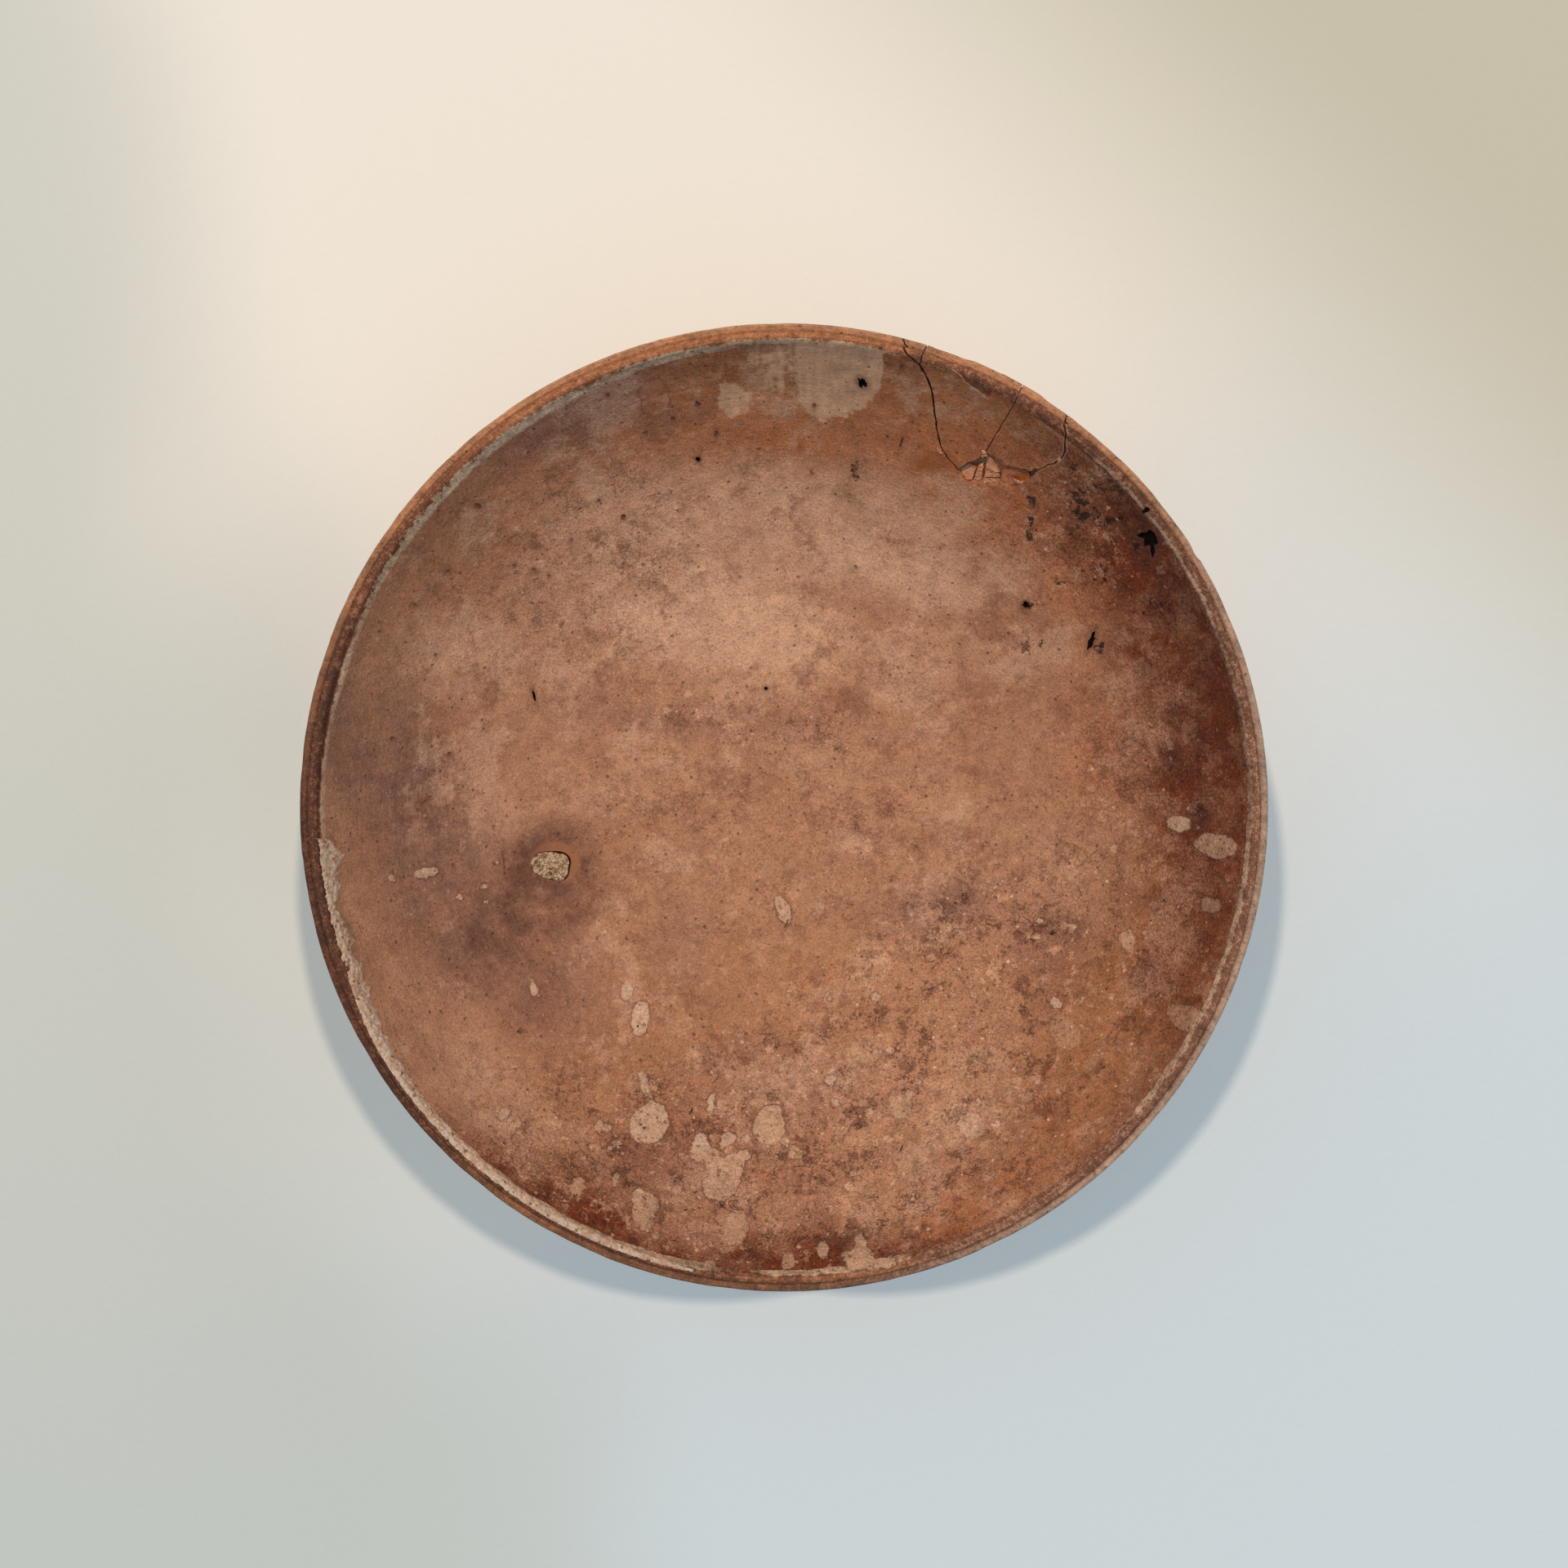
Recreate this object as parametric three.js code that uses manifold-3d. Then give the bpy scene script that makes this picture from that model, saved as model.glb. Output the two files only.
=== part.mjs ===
// A shallow wheel-thrown earthenware bowl with a grooved lip and a ring foot.
// Two rim sherds and a sliver of lip are glued back into its wall, over a small
// loss that holds flakes of fresh clay and a pool of resin.
// Millimetres, +Z up. The origin is the centre of the foot's resting face.
// Angles run anticlockwise from +X, seen from above.

import * as THREE from 'three';
import { mergeVertices } from 'three/addons/utils/BufferGeometryUtils.js';
import Module from 'manifold-3d';

const wasm = await Module();
wasm.setup();

const DEG = Math.PI / 180;

// Bowl
const rimDiameter = 200;
const rimHeight = 55;
const floorLevel = 9;            // height of the inside at the centre
const floorArcRadius = 300;      // the nearly flat middle of the inside
const floorRadius = 36;          // where the floor's arc turns into the wall's
const wallThickness = 5.5;       // half way up the wall
const wheelSegments = 96;

// Lip
const lipWidth = 4;              // outermost point of the bead to the inner edge
const lipCrown = 0.8;            // drop of the flat band to its inner edge
const bandFlat = 1.5;            // width of the level part of the band
const bandRound = 0.65;          // inner edge to where the band rounds over
const bandRoundDrop = 0.12;      // and how far it has dropped there
const beadWidth = 1.6;           // rolled outer edge, outside the groove
const beadDepth = 4.2;           // how far the bead reaches down the outside
const beadStep = 0.3;            // the bead's top lies this far below the band
const beadFrom = -60;            // the bead's section as an arc, in degrees
const beadTo = 120;
const grooveWidth = 0.5;
const grooveDepth = 0.55;
const neckInset = 1.5;           // the wall under the bead, inside the bead's face

// Foot
const footDiameter = 80;
const footHeight = 6;
const footRingWidth = 6;
const footRecess = 3;            // the underside within the ring
const footEdge = 1;              // worn edge of the ring

// Joins
const crackGap = 0.36;           // open joint between two glued faces
const fitGap = 0.3;              // any other piece to its seat
const beyond = 8;                // how far a cutter runs past what it cuts

// Where the break through the wall is measured from
const sherdAngle = 64;
const sherdInset = 10;

// Small loss under the sherds, and what lies in it
const lossAngle = 57.5;
const lossInset = 14;
const lossDepth = 2.6;
const flakeDrop = 0.7;           // top of a flake below the inside of the bowl
const resinDrop = 0.95;          // top of the resin below the inside of the bowl
const flakeGap = 0.32;

// Lime nodule in the floor
const noduleAngle = -165.7;
const noduleRadius = 55.5;       // from the axis of the bowl
const noduleLength = 10.4;
const noduleBreadth = 7.6;
const noduleThickness = 2.6;
const noduleProud = 0.5;

// Lime crust on the lip's inner edge
const crustStart = -173;
const crustEnd = -101;
const crustThickness = 0.9;
const crustProud = 0.3;
const crustOuterInset = 2.3;     // from the outermost point of the bead
const crustReachStart = 2.6;     // from the lip's inner edge in over the wall, at its start
const crustReachEnd = 1.1;       // and at its end
const crustSteps = 16;

const rimRadius = rimDiameter / 2;
const lipInnerRadius = rimRadius - lipWidth;
const footRadius = footDiameter / 2;

function finish(name, color, roughness) {
  return new THREE.MeshStandardMaterial({ name, color, roughness, metalness: 0 });
}

const clay = finish('fired_clay', 0x9a6650, 0.82);
const freshClay = finish('fresh_clay', 0xc98a5e, 0.88);
const resin = finish('amber_resin', 0xa8622a, 0.25);
const glue = finish('clear_glue', 0xd8c4a0, 0.15);
const lime = finish('lime', 0xb3a488, 0.9);
const crustLime = finish('crust', 0xa2917c, 0.92);

// Points of an arc about a centre, between two angles, both ends included.
function arc(centre, radiusR, radiusZ, from, to, steps) {
  return Array.from({ length: steps + 1 }, (unused, i) => {
    const angle = from + ((to - from) * i) / steps;
    return new THREE.Vector2(
      centre.x + radiusR * Math.cos(angle),
      centre.y + radiusZ * Math.sin(angle),
    );
  });
}

// The inside: a floor arc about the axis, then a wall arc tangent to it that
// ends at the lip's inner edge.
function insideArcs() {
  const tilt = Math.asin(floorRadius / floorArcRadius);
  const floorCentre = new THREE.Vector2(0, floorLevel + floorArcRadius);
  const join = new THREE.Vector2(
    floorRadius,
    floorCentre.y - floorArcRadius * Math.cos(tilt),
  );
  const edge = new THREE.Vector2(lipInnerRadius, rimHeight - lipCrown);
  const inward = new THREE.Vector2(-Math.sin(tilt), Math.cos(tilt));
  const chord = edge.clone().sub(join);
  const wallRadius = chord.lengthSq() / (2 * inward.dot(chord));
  const wallCentre = join.clone().addScaledVector(inward, wallRadius);
  return { floorCentre, join, edge, wallRadius, wallCentre };
}

const inside = insideArcs();

// Height and slope of the inside at a distance from the axis. Past the inner
// edge of the lip it stays at the lip's top.
function insideAt(radius) {
  if (radius <= floorRadius) {
    const slope = Math.asin(radius / floorArcRadius);
    return { z: inside.floorCentre.y - floorArcRadius * Math.cos(slope), slope };
  }
  const within = Math.min(radius, lipInnerRadius);
  const slope = Math.asin((within - inside.wallCentre.x) / inside.wallRadius);
  if (radius > lipInnerRadius) return { z: rimHeight, slope };
  return { z: inside.wallCentre.y - inside.wallRadius * Math.cos(slope), slope };
}

// Arc through three points, from the first to the last.
function arcThrough(a, b, c, steps) {
  const ab = b.clone().sub(a);
  const ac = c.clone().sub(a);
  const cross = 2 * ab.cross(ac);
  const centre = new THREE.Vector2(
    a.x + (ac.y * ab.lengthSq() - ab.y * ac.lengthSq()) / cross,
    a.y + (ab.x * ac.lengthSq() - ac.x * ab.lengthSq()) / cross,
  );
  const radius = centre.distanceTo(a);
  const from = Math.atan2(a.y - centre.y, a.x - centre.x);
  const to = Math.atan2(c.y - centre.y, c.x - centre.x);
  return arc(centre, radius, radius, from, to, steps);
}

// The whole section: up the outside, over the lip and down the inside.
function bowlProfile() {
  const foot = [
    new THREE.Vector2(0, footRecess),
    new THREE.Vector2(footRadius - footRingWidth - footEdge, footRecess),
    new THREE.Vector2(footRadius - footRingWidth, footEdge),
    new THREE.Vector2(footRadius - footRingWidth + footEdge / 2, 0),
    new THREE.Vector2(footRadius - footEdge, 0),
    new THREE.Vector2(footRadius - footEdge / 4, footEdge),
  ];

  const middle = insideAt((floorRadius + lipInnerRadius) / 2);
  const wallMiddle = new THREE.Vector2(
    (floorRadius + lipInnerRadius) / 2 + wallThickness * Math.sin(middle.slope),
    middle.z - wallThickness * Math.cos(middle.slope),
  );
  const neck = new THREE.Vector2(rimRadius - neckInset, rimHeight - beadStep - beadDepth);
  const outside = arcThrough(new THREE.Vector2(footRadius, footHeight), wallMiddle, neck, 8);

  const beadCentre = new THREE.Vector2(
    rimRadius - beadWidth / 2,
    rimHeight - beadStep - beadDepth / 2,
  );
  const bead = arc(
    beadCentre, beadWidth / 2, beadDepth / 2, beadFrom * DEG, beadTo * DEG, 6,
  );

  const grooveX = rimRadius - beadWidth - grooveWidth / 2;
  const lip = [
    new THREE.Vector2(grooveX, rimHeight - beadStep - grooveDepth),
    new THREE.Vector2(grooveX - grooveWidth / 2, rimHeight - grooveDepth / 3),
    new THREE.Vector2(lipInnerRadius + bandFlat, rimHeight),
    new THREE.Vector2(lipInnerRadius + bandRound, rimHeight - bandRoundDrop),
  ];

  const edgeAngle = Math.atan2(
    inside.edge.y - inside.wallCentre.y,
    inside.edge.x - inside.wallCentre.x,
  );
  const joinAngle = Math.atan2(
    inside.join.y - inside.wallCentre.y,
    inside.join.x - inside.wallCentre.x,
  );
  const wall = arc(inside.wallCentre, inside.wallRadius, inside.wallRadius, edgeAngle, joinAngle, 10);
  const floor = arc(inside.floorCentre, floorArcRadius, floorArcRadius, joinAngle, -90 * DEG, 3);
  floor[floor.length - 1].x = 0;
  return [...foot, ...outside, ...bead, ...lip, ...wall, ...floor.slice(1)];
}

// Any closed three.js geometry as a solid that can be cut and joined.
function toSolid(geometry) {
  const bare = geometry.clone();
  bare.deleteAttribute('normal');
  bare.deleteAttribute('uv');
  const merged = mergeVertices(bare, 1e-4);
  const index = merged.index.array;
  const kept = [];
  for (let i = 0; i < index.length; i += 3) {
    const [a, b, c] = [index[i], index[i + 1], index[i + 2]];
    if (a !== b && b !== c && c !== a) kept.push(a, b, c);
  }
  return new wasm.Manifold(new wasm.Mesh({
    numProp: 3,
    vertProperties: Float32Array.from(merged.attributes.position.array),
    triVerts: Uint32Array.from(kept),
  }));
}

function toGeometry(solid) {
  const { vertProperties, triVerts } = solid.getMesh();
  const geometry = new THREE.BufferGeometry();
  geometry.setAttribute('position', new THREE.BufferAttribute(vertProperties, 3));
  geometry.setIndex(new THREE.BufferAttribute(triVerts, 1));
  geometry.computeVertexNormals();
  return geometry;
}

// A closed section turned about the bowl's axis.
function turned(profile) {
  const geometry = new THREE.LatheGeometry(profile, wheelSegments);
  geometry.rotateX(90 * DEG);
  return toSolid(geometry);
}

// Local frame on the inside of the wall: X along the rim, Y up the wall and Z
// square to the wall, towards the middle of the bowl.
function wallFrame(angle, radius) {
  const { z, slope } = insideAt(radius);
  const [ca, sa] = [Math.cos(angle * DEG), Math.sin(angle * DEG)];
  const up = new THREE.Vector3(Math.cos(slope) * ca, Math.cos(slope) * sa, Math.sin(slope));
  const out = new THREE.Vector3(-Math.sin(slope) * ca, -Math.sin(slope) * sa, Math.cos(slope));
  const along = up.clone().cross(out);
  const frame = new THREE.Matrix4().makeBasis(along, up, out);
  return frame.setPosition(radius * ca, radius * sa, z);
}

// A point of the inside, given by its angle and its distance in from the rim,
// seen in a wall frame.
function onWall([angle, inset], frame) {
  const radius = rimRadius - inset;
  const point = new THREE.Vector3(
    radius * Math.cos(angle * DEG),
    radius * Math.sin(angle * DEG),
    insideAt(radius).z,
  );
  point.applyMatrix4(frame.clone().invert());
  return new THREE.Vector2(point.x, point.y);
}

// A prism through the wall, between two depths in the wall frame.
function prism(outline, frame, low, high) {
  const geometry = new THREE.ExtrudeGeometry(new THREE.Shape(outline), {
    depth: high - low,
    bevelEnabled: false,
  });
  geometry.translate(0, 0, low);
  geometry.applyMatrix4(frame);
  return toSolid(geometry);
}

// The outline of a narrow strip of even width along a line.
function strip(line, width) {
  const side = (sign) => line.map((point, i) => {
    const before = line[Math.max(i - 1, 0)];
    const after = line[Math.min(i + 1, line.length - 1)];
    const run = after.clone().sub(before).normalize();
    return new THREE.Vector2(
      point.x - (sign * run.y * width) / 2,
      point.y + (sign * run.x * width) / 2,
    );
  });
  return [...side(1), ...side(-1).reverse()];
}

// Cracks, as [angle, distance in from the rim], from the rim inwards. A
// negative distance is past the rim, so that the cut runs clear of the bead.
const clear = -beyond / 2;
const fork = [73, 4.4];
const leftTip = [62.6, 17.1];
const middleTip = [60.4, 12.3];
const rightTip = [52.8, 9.6];
const leftCrackAbove = [[77.2, clear], [75.6, 2.2], fork];
const leftCrackBelow = [
  fork, [71.5, 5.8], [70.3, 7.4], [69.4, 9.5], [67.5, 13.4], [65.8, 15.6], leftTip,
];
const branchCrack = [[72.6, clear], fork];
const middleCrack = [[60.9, clear], [60.3, 3.4], [60.3, 6.1], middleTip];
const rightCrack = [
  [55.1, clear], [54.4, 1.8], [52.6, 3.7], [52, 4.8], [51.4, 5.6], [51.5, 7], rightTip,
];

// Broken lower edges of the sherds, and the edge of the loss under them
const leftSherdFoot = [leftTip, [61.9, 15.3], [60.8, 13.9], middleTip];
const rightSherdFoot = [middleTip, [58.1, 12.1], [56.4, 12.4], [55.4, 11.5], [54.1, 11.2], rightTip];
const lossEdge = [
  leftTip, [61.4, 18.4], [60, 18.3], [58.4, 17.4], [56.3, 16.2], [54.5, 14.8], [53.2, 13.1],
  rightTip,
];

// Flakes in the loss, as their corners
const flakes = {
  chip_flake_left: [[62.2, 17.2], [61.6, 15.9], [60.6, 15.9], [60.2, 17.8], [61.2, 18]],
  chip_flake_middle: [[60.3, 15.2], [59.8, 14.7], [58.95, 16.9], [59.6, 17.4]],
  chip_flake_upper: [[59.9, 13.1], [59.2, 13.1], [57.3, 14.1], [58.1, 14.6], [59.1, 14.7]],
  chip_flake_lower: [[59, 15.1], [57.1, 14.5], [56.8, 14.8], [58.6, 15.9]],
  chip_flake_bottom: [[58.6, 16.4], [56.7, 15.2], [56.5, 15.5], [58.2, 16.9]],
};
const resinOutline = [
  [56.9, 13.5], [56.2, 13.1], [55, 12.3], [53.7, 11.7], [53.5, 12.7], [54.6, 14.3], [56.2, 15],
];

// Beads of glue: [angle, distance in from the rim, length, breadth, height]
const glueBeads = {
  glue_bead_left_crack: [66.5, 15.5, 1.3, 0.9, 0.6],
  glue_bead_middle_crack: [60.5, 12.7, 1.4, 1, 0.7],
  glue_bead_right_crack: [51.6, 6.9, 1.6, 1, 0.6],
  glue_bead_chip_edge: [53.8, 14, 2, 0.8, 0.5],
};

const sherdFrame = wallFrame(sherdAngle, rimRadius - sherdInset);
const lossFrame = wallFrame(lossAngle, rimRadius - lossInset);
const through = wallThickness + beyond;

function sherdLine(points) {
  return points.map((point) => onWall(point, sherdFrame));
}

function sherdPrism(points) {
  return prism(sherdLine(points), sherdFrame, -through, through);
}

function crackCut(points) {
  return prism(strip(sherdLine(points), crackGap), sherdFrame, -through, through);
}

function lossPrism(points, low, high) {
  return prism(points.map((point) => onWall(point, lossFrame)), lossFrame, low, high);
}

function unite(solids) {
  return solids.reduce((whole, solid) => whole.add(solid));
}

const bowl = turned(bowlProfile());
const cracks = unite([
  [...leftCrackAbove, ...leftCrackBelow.slice(1)],
  branchCrack,
  middleCrack,
  rightCrack,
  [...leftSherdFoot, ...rightSherdFoot.slice(1)],
].map(crackCut));

// The sherds and the sliver, each cut from the same turned bowl
function cutFromBowl(outline) {
  return bowl.intersect(sherdPrism(outline)).subtract(cracks);
}

const leftOutline = [
  ...branchCrack, ...leftCrackBelow.slice(1), ...leftSherdFoot.slice(1),
  ...middleCrack.slice().reverse().slice(1),
];
const rightOutline = [
  ...middleCrack, ...rightSherdFoot.slice(1), ...rightCrack.slice().reverse().slice(1),
];
const sliverOutline = [...leftCrackAbove, branchCrack[0]];

const sherds = {
  rim_sherd_left: cutFromBowl(leftOutline),
  rim_sherd_right: cutFromBowl(rightOutline),
  rim_sliver: cutFromBowl(sliverOutline),
};

// The loss is cut down to a ledge, and stops at the sherds' lower edges
const lossOutline = [
  ...lossEdge, ...rightSherdFoot.slice().reverse().slice(1),
  ...leftSherdFoot.slice(1, -1).reverse(),
];
const loss = lossPrism(lossOutline, -lossDepth, beyond);

// A flattened pebble lying in the surface of the wall
function pebble(angle, radius, length, breadth, thickness, rise) {
  const geometry = new THREE.SphereGeometry(0.5, 24, 12);
  geometry.rotateX(90 * DEG);
  geometry.scale(breadth, length, thickness);
  geometry.translate(0, 0, rise - thickness / 2);
  geometry.applyMatrix4(wallFrame(angle, radius));
  return toSolid(geometry);
}

const nodule = pebble(
  noduleAngle, noduleRadius, noduleLength, noduleBreadth, noduleThickness, noduleProud,
);
const socket = pebble(
  noduleAngle, noduleRadius,
  noduleLength + 2 * fitGap, noduleBreadth + 2 * fitGap, noduleThickness + 2 * fitGap,
  noduleProud + fitGap,
);

// A band that follows the lip's inner corner and the top of the wall. Depth
// runs into the clay and proud runs out of it.
function cornerBand(depth, proud, spare) {
  const lowRadius = lipInnerRadius - crustReachStart - crustThickness;
  const top = insideAt(lipInnerRadius);
  const low = insideAt(lowRadius);
  const shift = (radius, z, slope, by) => new THREE.Vector2(
    radius + by * Math.sin(slope),
    z - by * Math.cos(slope),
  );
  const outer = rimRadius - crustOuterInset + spare;
  const section = [
    shift(lowRadius, low.z, low.slope, depth),
    shift(lipInnerRadius, inside.edge.y, top.slope, depth),
    new THREE.Vector2(outer, rimHeight - depth),
    new THREE.Vector2(outer, rimHeight + proud),
    new THREE.Vector2(lipInnerRadius, rimHeight + proud),
    shift(lipInnerRadius, inside.edge.y, top.slope, -proud),
    shift(lowRadius, low.z, low.slope, -proud),
  ];
  return turned([...section, section[0].clone()]);
}

// A crescent in plan that narrows from the crust's start to its end
function crescent(spare) {
  const margin = (spare / rimRadius) / DEG;
  const steps = Array.from({ length: crustSteps + 1 }, (unused, i) => i / crustSteps);
  const at = (share, radius) => {
    const angle = (crustStart - margin + share * (crustEnd - crustStart + 2 * margin)) * DEG;
    return new THREE.Vector2(radius * Math.cos(angle), radius * Math.sin(angle));
  };
  const reach = (share) => crustReachStart + share * (crustReachEnd - crustReachStart) + spare;
  const outerSide = steps.map((share) => at(share, rimRadius));
  const innerSide = steps.map((share) => at(share, lipInnerRadius - reach(share)));
  const geometry = new THREE.ExtrudeGeometry(
    new THREE.Shape([...outerSide, ...innerSide.reverse()]),
    { depth: rimHeight, bevelEnabled: false },
  );
  geometry.translate(0, 0, rimHeight / 2);
  return toSolid(geometry);
}

const crust = cornerBand(crustThickness - fitGap, crustProud, 0).intersect(crescent(0));
const crustSeat = cornerBand(crustThickness, beyond, fitGap).intersect(crescent(fitGap));

const body = bowl
  .subtract(unite([leftOutline, rightOutline, sliverOutline].map(sherdPrism)))
  .subtract(cracks)
  .subtract(loss)
  .subtract(socket)
  .subtract(crustSeat);

// Beads stand on the inside of the wall, over the joints
function glueBead([angle, inset, length, breadth, height]) {
  const radius = rimRadius - inset;
  const geometry = new THREE.SphereGeometry(0.5, 12, 8);
  geometry.scale(length, breadth, height);
  geometry.translate(0, 0, fitGap + height / 2);
  geometry.applyMatrix4(wallFrame(angle, radius));
  return geometry;
}

const group = new THREE.Group();

function addPiece(name, geometry, material) {
  const mesh = new THREE.Mesh(geometry, material);
  mesh.name = name;
  group.add(mesh);
}

addPiece('dish_body', toGeometry(body), clay);
for (const [name, solid] of Object.entries(sherds)) {
  addPiece(name, toGeometry(solid), clay);
}
for (const [name, corners] of Object.entries(flakes)) {
  const flake = lossPrism(corners, -lossDepth + flakeGap, -flakeDrop);
  addPiece(name, toGeometry(flake), freshClay);
}
const resinPool = lossPrism(resinOutline, -lossDepth + flakeGap, -resinDrop);
addPiece('resin_fill', toGeometry(resinPool), resin);
for (const [name, bead] of Object.entries(glueBeads)) {
  addPiece(name, glueBead(bead), glue);
}
addPiece('lime_nodule', toGeometry(nodule), lime);
addPiece('rim_lime_crust', toGeometry(crust), crustLime);

export default group;
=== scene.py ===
"""An old wheel-thrown earthenware bowl with a glued rim, seen from straight above.

The bowl is turned from one section, with far more rings than the frame's solid
needs, so that wheel marks, splashes, pits and wear are real relief. The broken
rim, the adhesive, the flakes in the chip and the two lime deposits are pieces of
their own; each but the adhesive stands for the node of the same name.

Sizes are millimetres, and are turned into metres where a mesh is made. Plan
positions are measured from the axis of the bowl: +X to the right of the view and
+Y to its top. Angles run anticlockwise from +X.
"""

import logging
import math
from dataclasses import dataclass, field
from enum import Enum
from functools import cached_property
from typing import Callable, Optional, Sequence

import bpy
import numpy as np
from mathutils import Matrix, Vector


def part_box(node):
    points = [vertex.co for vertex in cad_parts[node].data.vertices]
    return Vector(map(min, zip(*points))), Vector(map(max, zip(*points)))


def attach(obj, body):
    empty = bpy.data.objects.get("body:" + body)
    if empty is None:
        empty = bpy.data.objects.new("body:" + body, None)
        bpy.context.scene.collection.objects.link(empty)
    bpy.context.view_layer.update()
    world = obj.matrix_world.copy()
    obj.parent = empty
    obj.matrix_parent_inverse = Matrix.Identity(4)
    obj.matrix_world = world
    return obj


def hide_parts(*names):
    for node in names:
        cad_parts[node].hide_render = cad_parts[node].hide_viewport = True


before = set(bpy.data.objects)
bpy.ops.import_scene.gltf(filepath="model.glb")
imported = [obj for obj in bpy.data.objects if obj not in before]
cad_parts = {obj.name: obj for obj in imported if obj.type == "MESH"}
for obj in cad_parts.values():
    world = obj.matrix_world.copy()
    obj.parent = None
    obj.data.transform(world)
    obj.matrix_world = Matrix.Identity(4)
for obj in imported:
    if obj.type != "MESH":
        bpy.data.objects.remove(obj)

LOG = logging.getLogger("bowl")
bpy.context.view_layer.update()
BODY = "root"
MM = 0.001
FULL_TURN = 2.0 * math.pi

Array = np.ndarray
Point = tuple[float, float]
Colour = tuple[float, float, float]
Surface = Callable[[Array, Array], Array]
Piece = bpy.types.Object
Material = bpy.types.Material
Tree = bpy.types.NodeTree
Node = bpy.types.Node
Socket = bpy.types.NodeSocket
Value = float | Colour | Socket
Term = Value | tuple[Value, float]


def srgb(red: int, green: int, blue: int) -> Colour:
    """Turns a screen colour into the linear values that a shader takes.

    Args:
        red: Red, 0 to 255.
        green: Green, 0 to 255.
        blue: Blue, 0 to 255.

    Returns:
        The three linear values.
    """
    parts = []
    for value in (red, green, blue):
        share = value / 255.0
        parts.append(share / 12.92 if share <= 0.04045 else ((share + 0.055) / 1.055) ** 2.4)
    return (parts[0], parts[1], parts[2])


def fade(low: float, high: float, value: Array) -> Array:
    """Rises smoothly from 0 at one value to 1 at another."""
    share = np.clip((value - low) / (high - low), 0.0, 1.0)
    return share * share * (3.0 - 2.0 * share)


def turned_share(angle: Array, start: float, end: float, soft: float) -> Array:
    """Says how far an angle lies within a stretch of the rim.

    Args:
        angle: Angles in degrees.
        start: Start of the stretch, anticlockwise.
        end: End of the stretch.
        soft: Degrees over which it fades in and out.

    Returns:
        1 within the stretch and 0 outside it.
    """
    span = (end - start) % 360.0
    offset = (angle - start + 180.0 - span / 2.0) % 360.0 - (180.0 - span / 2.0)
    return fade(-soft, soft, offset) * fade(span + soft, span - soft, offset)


def run_along(line: Array) -> Array:
    """Distance along a line at each of its points."""
    return np.concatenate([[0.0], np.cumsum(np.hypot(*np.diff(line, axis=0).T))])


def leftward(line: Array) -> Array:
    """Direction to the left of a line at each of its points, of length 1."""
    step = np.gradient(line, axis=0)
    step /= np.maximum(np.linalg.norm(step, axis=1), 1e-9)[:, None]
    return np.stack([-step[:, 1], step[:, 0]], axis=1)


def at_depth(flat: Array, depth: float) -> Array:
    """Gives points of a plane one depth."""
    return np.column_stack([flat, np.full(len(flat), depth)])


@dataclass(frozen=True)
class Ripple:
    """Smooth seeded unevenness, a sum of plain waves that averages to 0.

    Attributes:
        seed: Picks the waves.
        length: Their usual length, mm.
        waves: How many there are.
    """

    seed: int
    length: float
    waves: int = 26

    def at(self, *axes: Array) -> Array:
        """Gives the unevenness at points of a plane or of space.

        Args:
            *axes: The points' coordinates, mm.

        Returns:
            One value for each point, mostly between -1.5 and 1.5.
        """
        rng = np.random.default_rng(self.seed)
        total = np.zeros_like(np.asarray(axes[0], dtype=float))
        for _ in range(self.waves):
            direction = rng.normal(size=len(axes))
            direction /= np.linalg.norm(direction)
            number = FULL_TURN / (self.length * rng.uniform(0.6, 1.7))
            phase = rng.uniform(0.0, FULL_TURN)
            along = sum(part * axis for part, axis in zip(direction, axes))
            total = total + np.sin(number * along + phase)
        return total / math.sqrt(self.waves / 2.0)


class Finish(Enum):
    """Material slots of a turned piece: its skin and what a cut lays bare."""

    SKIN = 0
    BREAK = 1
    PIT = 2
    SOAKED = 3
    DIMPLE = 4


@dataclass
class MeshBuild:
    """A mesh under construction, in millimetres."""

    points: list[Array] = field(default_factory=list)
    faces: list[tuple[int, ...]] = field(default_factory=list)
    count: int = 0

    def add_points(self, points: Array) -> int:
        """Adds points and returns the number of the first one.

        Args:
            points: An array with one row of x, y, z for each point.

        Returns:
            The index of the first new point.
        """
        first = self.count
        self.points.append(np.asarray(points, dtype=float).reshape(-1, 3))
        self.count += len(self.points[-1])
        return first

    def band(self, first: int, second: int, count: int, closed: bool = True, flip: bool = False) -> None:
        """Fills the band between two rows of points.

        Args:
            first, second: The first point of each row.
            count: Points in each row.
            closed: Whether the rows are rings.
            flip: Whether the faces look the other way.
        """
        for j in range(count if closed else count - 1):
            k = (j + 1) % count
            if flip:
                self.faces.append((first + j, first + k, second + k, second + j))
            else:
                self.faces.append((first + j, second + j, second + k, first + k))

    def to_object(self, name: str) -> Piece:
        """Makes a Blender object in metres, linked to the scene and shaded smooth."""
        mesh = bpy.data.meshes.new(name)
        mesh.from_pydata((np.concatenate(self.points) * MM).tolist(), [], self.faces)
        mesh.update()
        mesh.polygons.foreach_set("use_smooth", [True] * len(mesh.polygons))
        piece = bpy.data.objects.new(name, mesh)
        bpy.context.scene.collection.objects.link(piece)
        return piece


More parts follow.
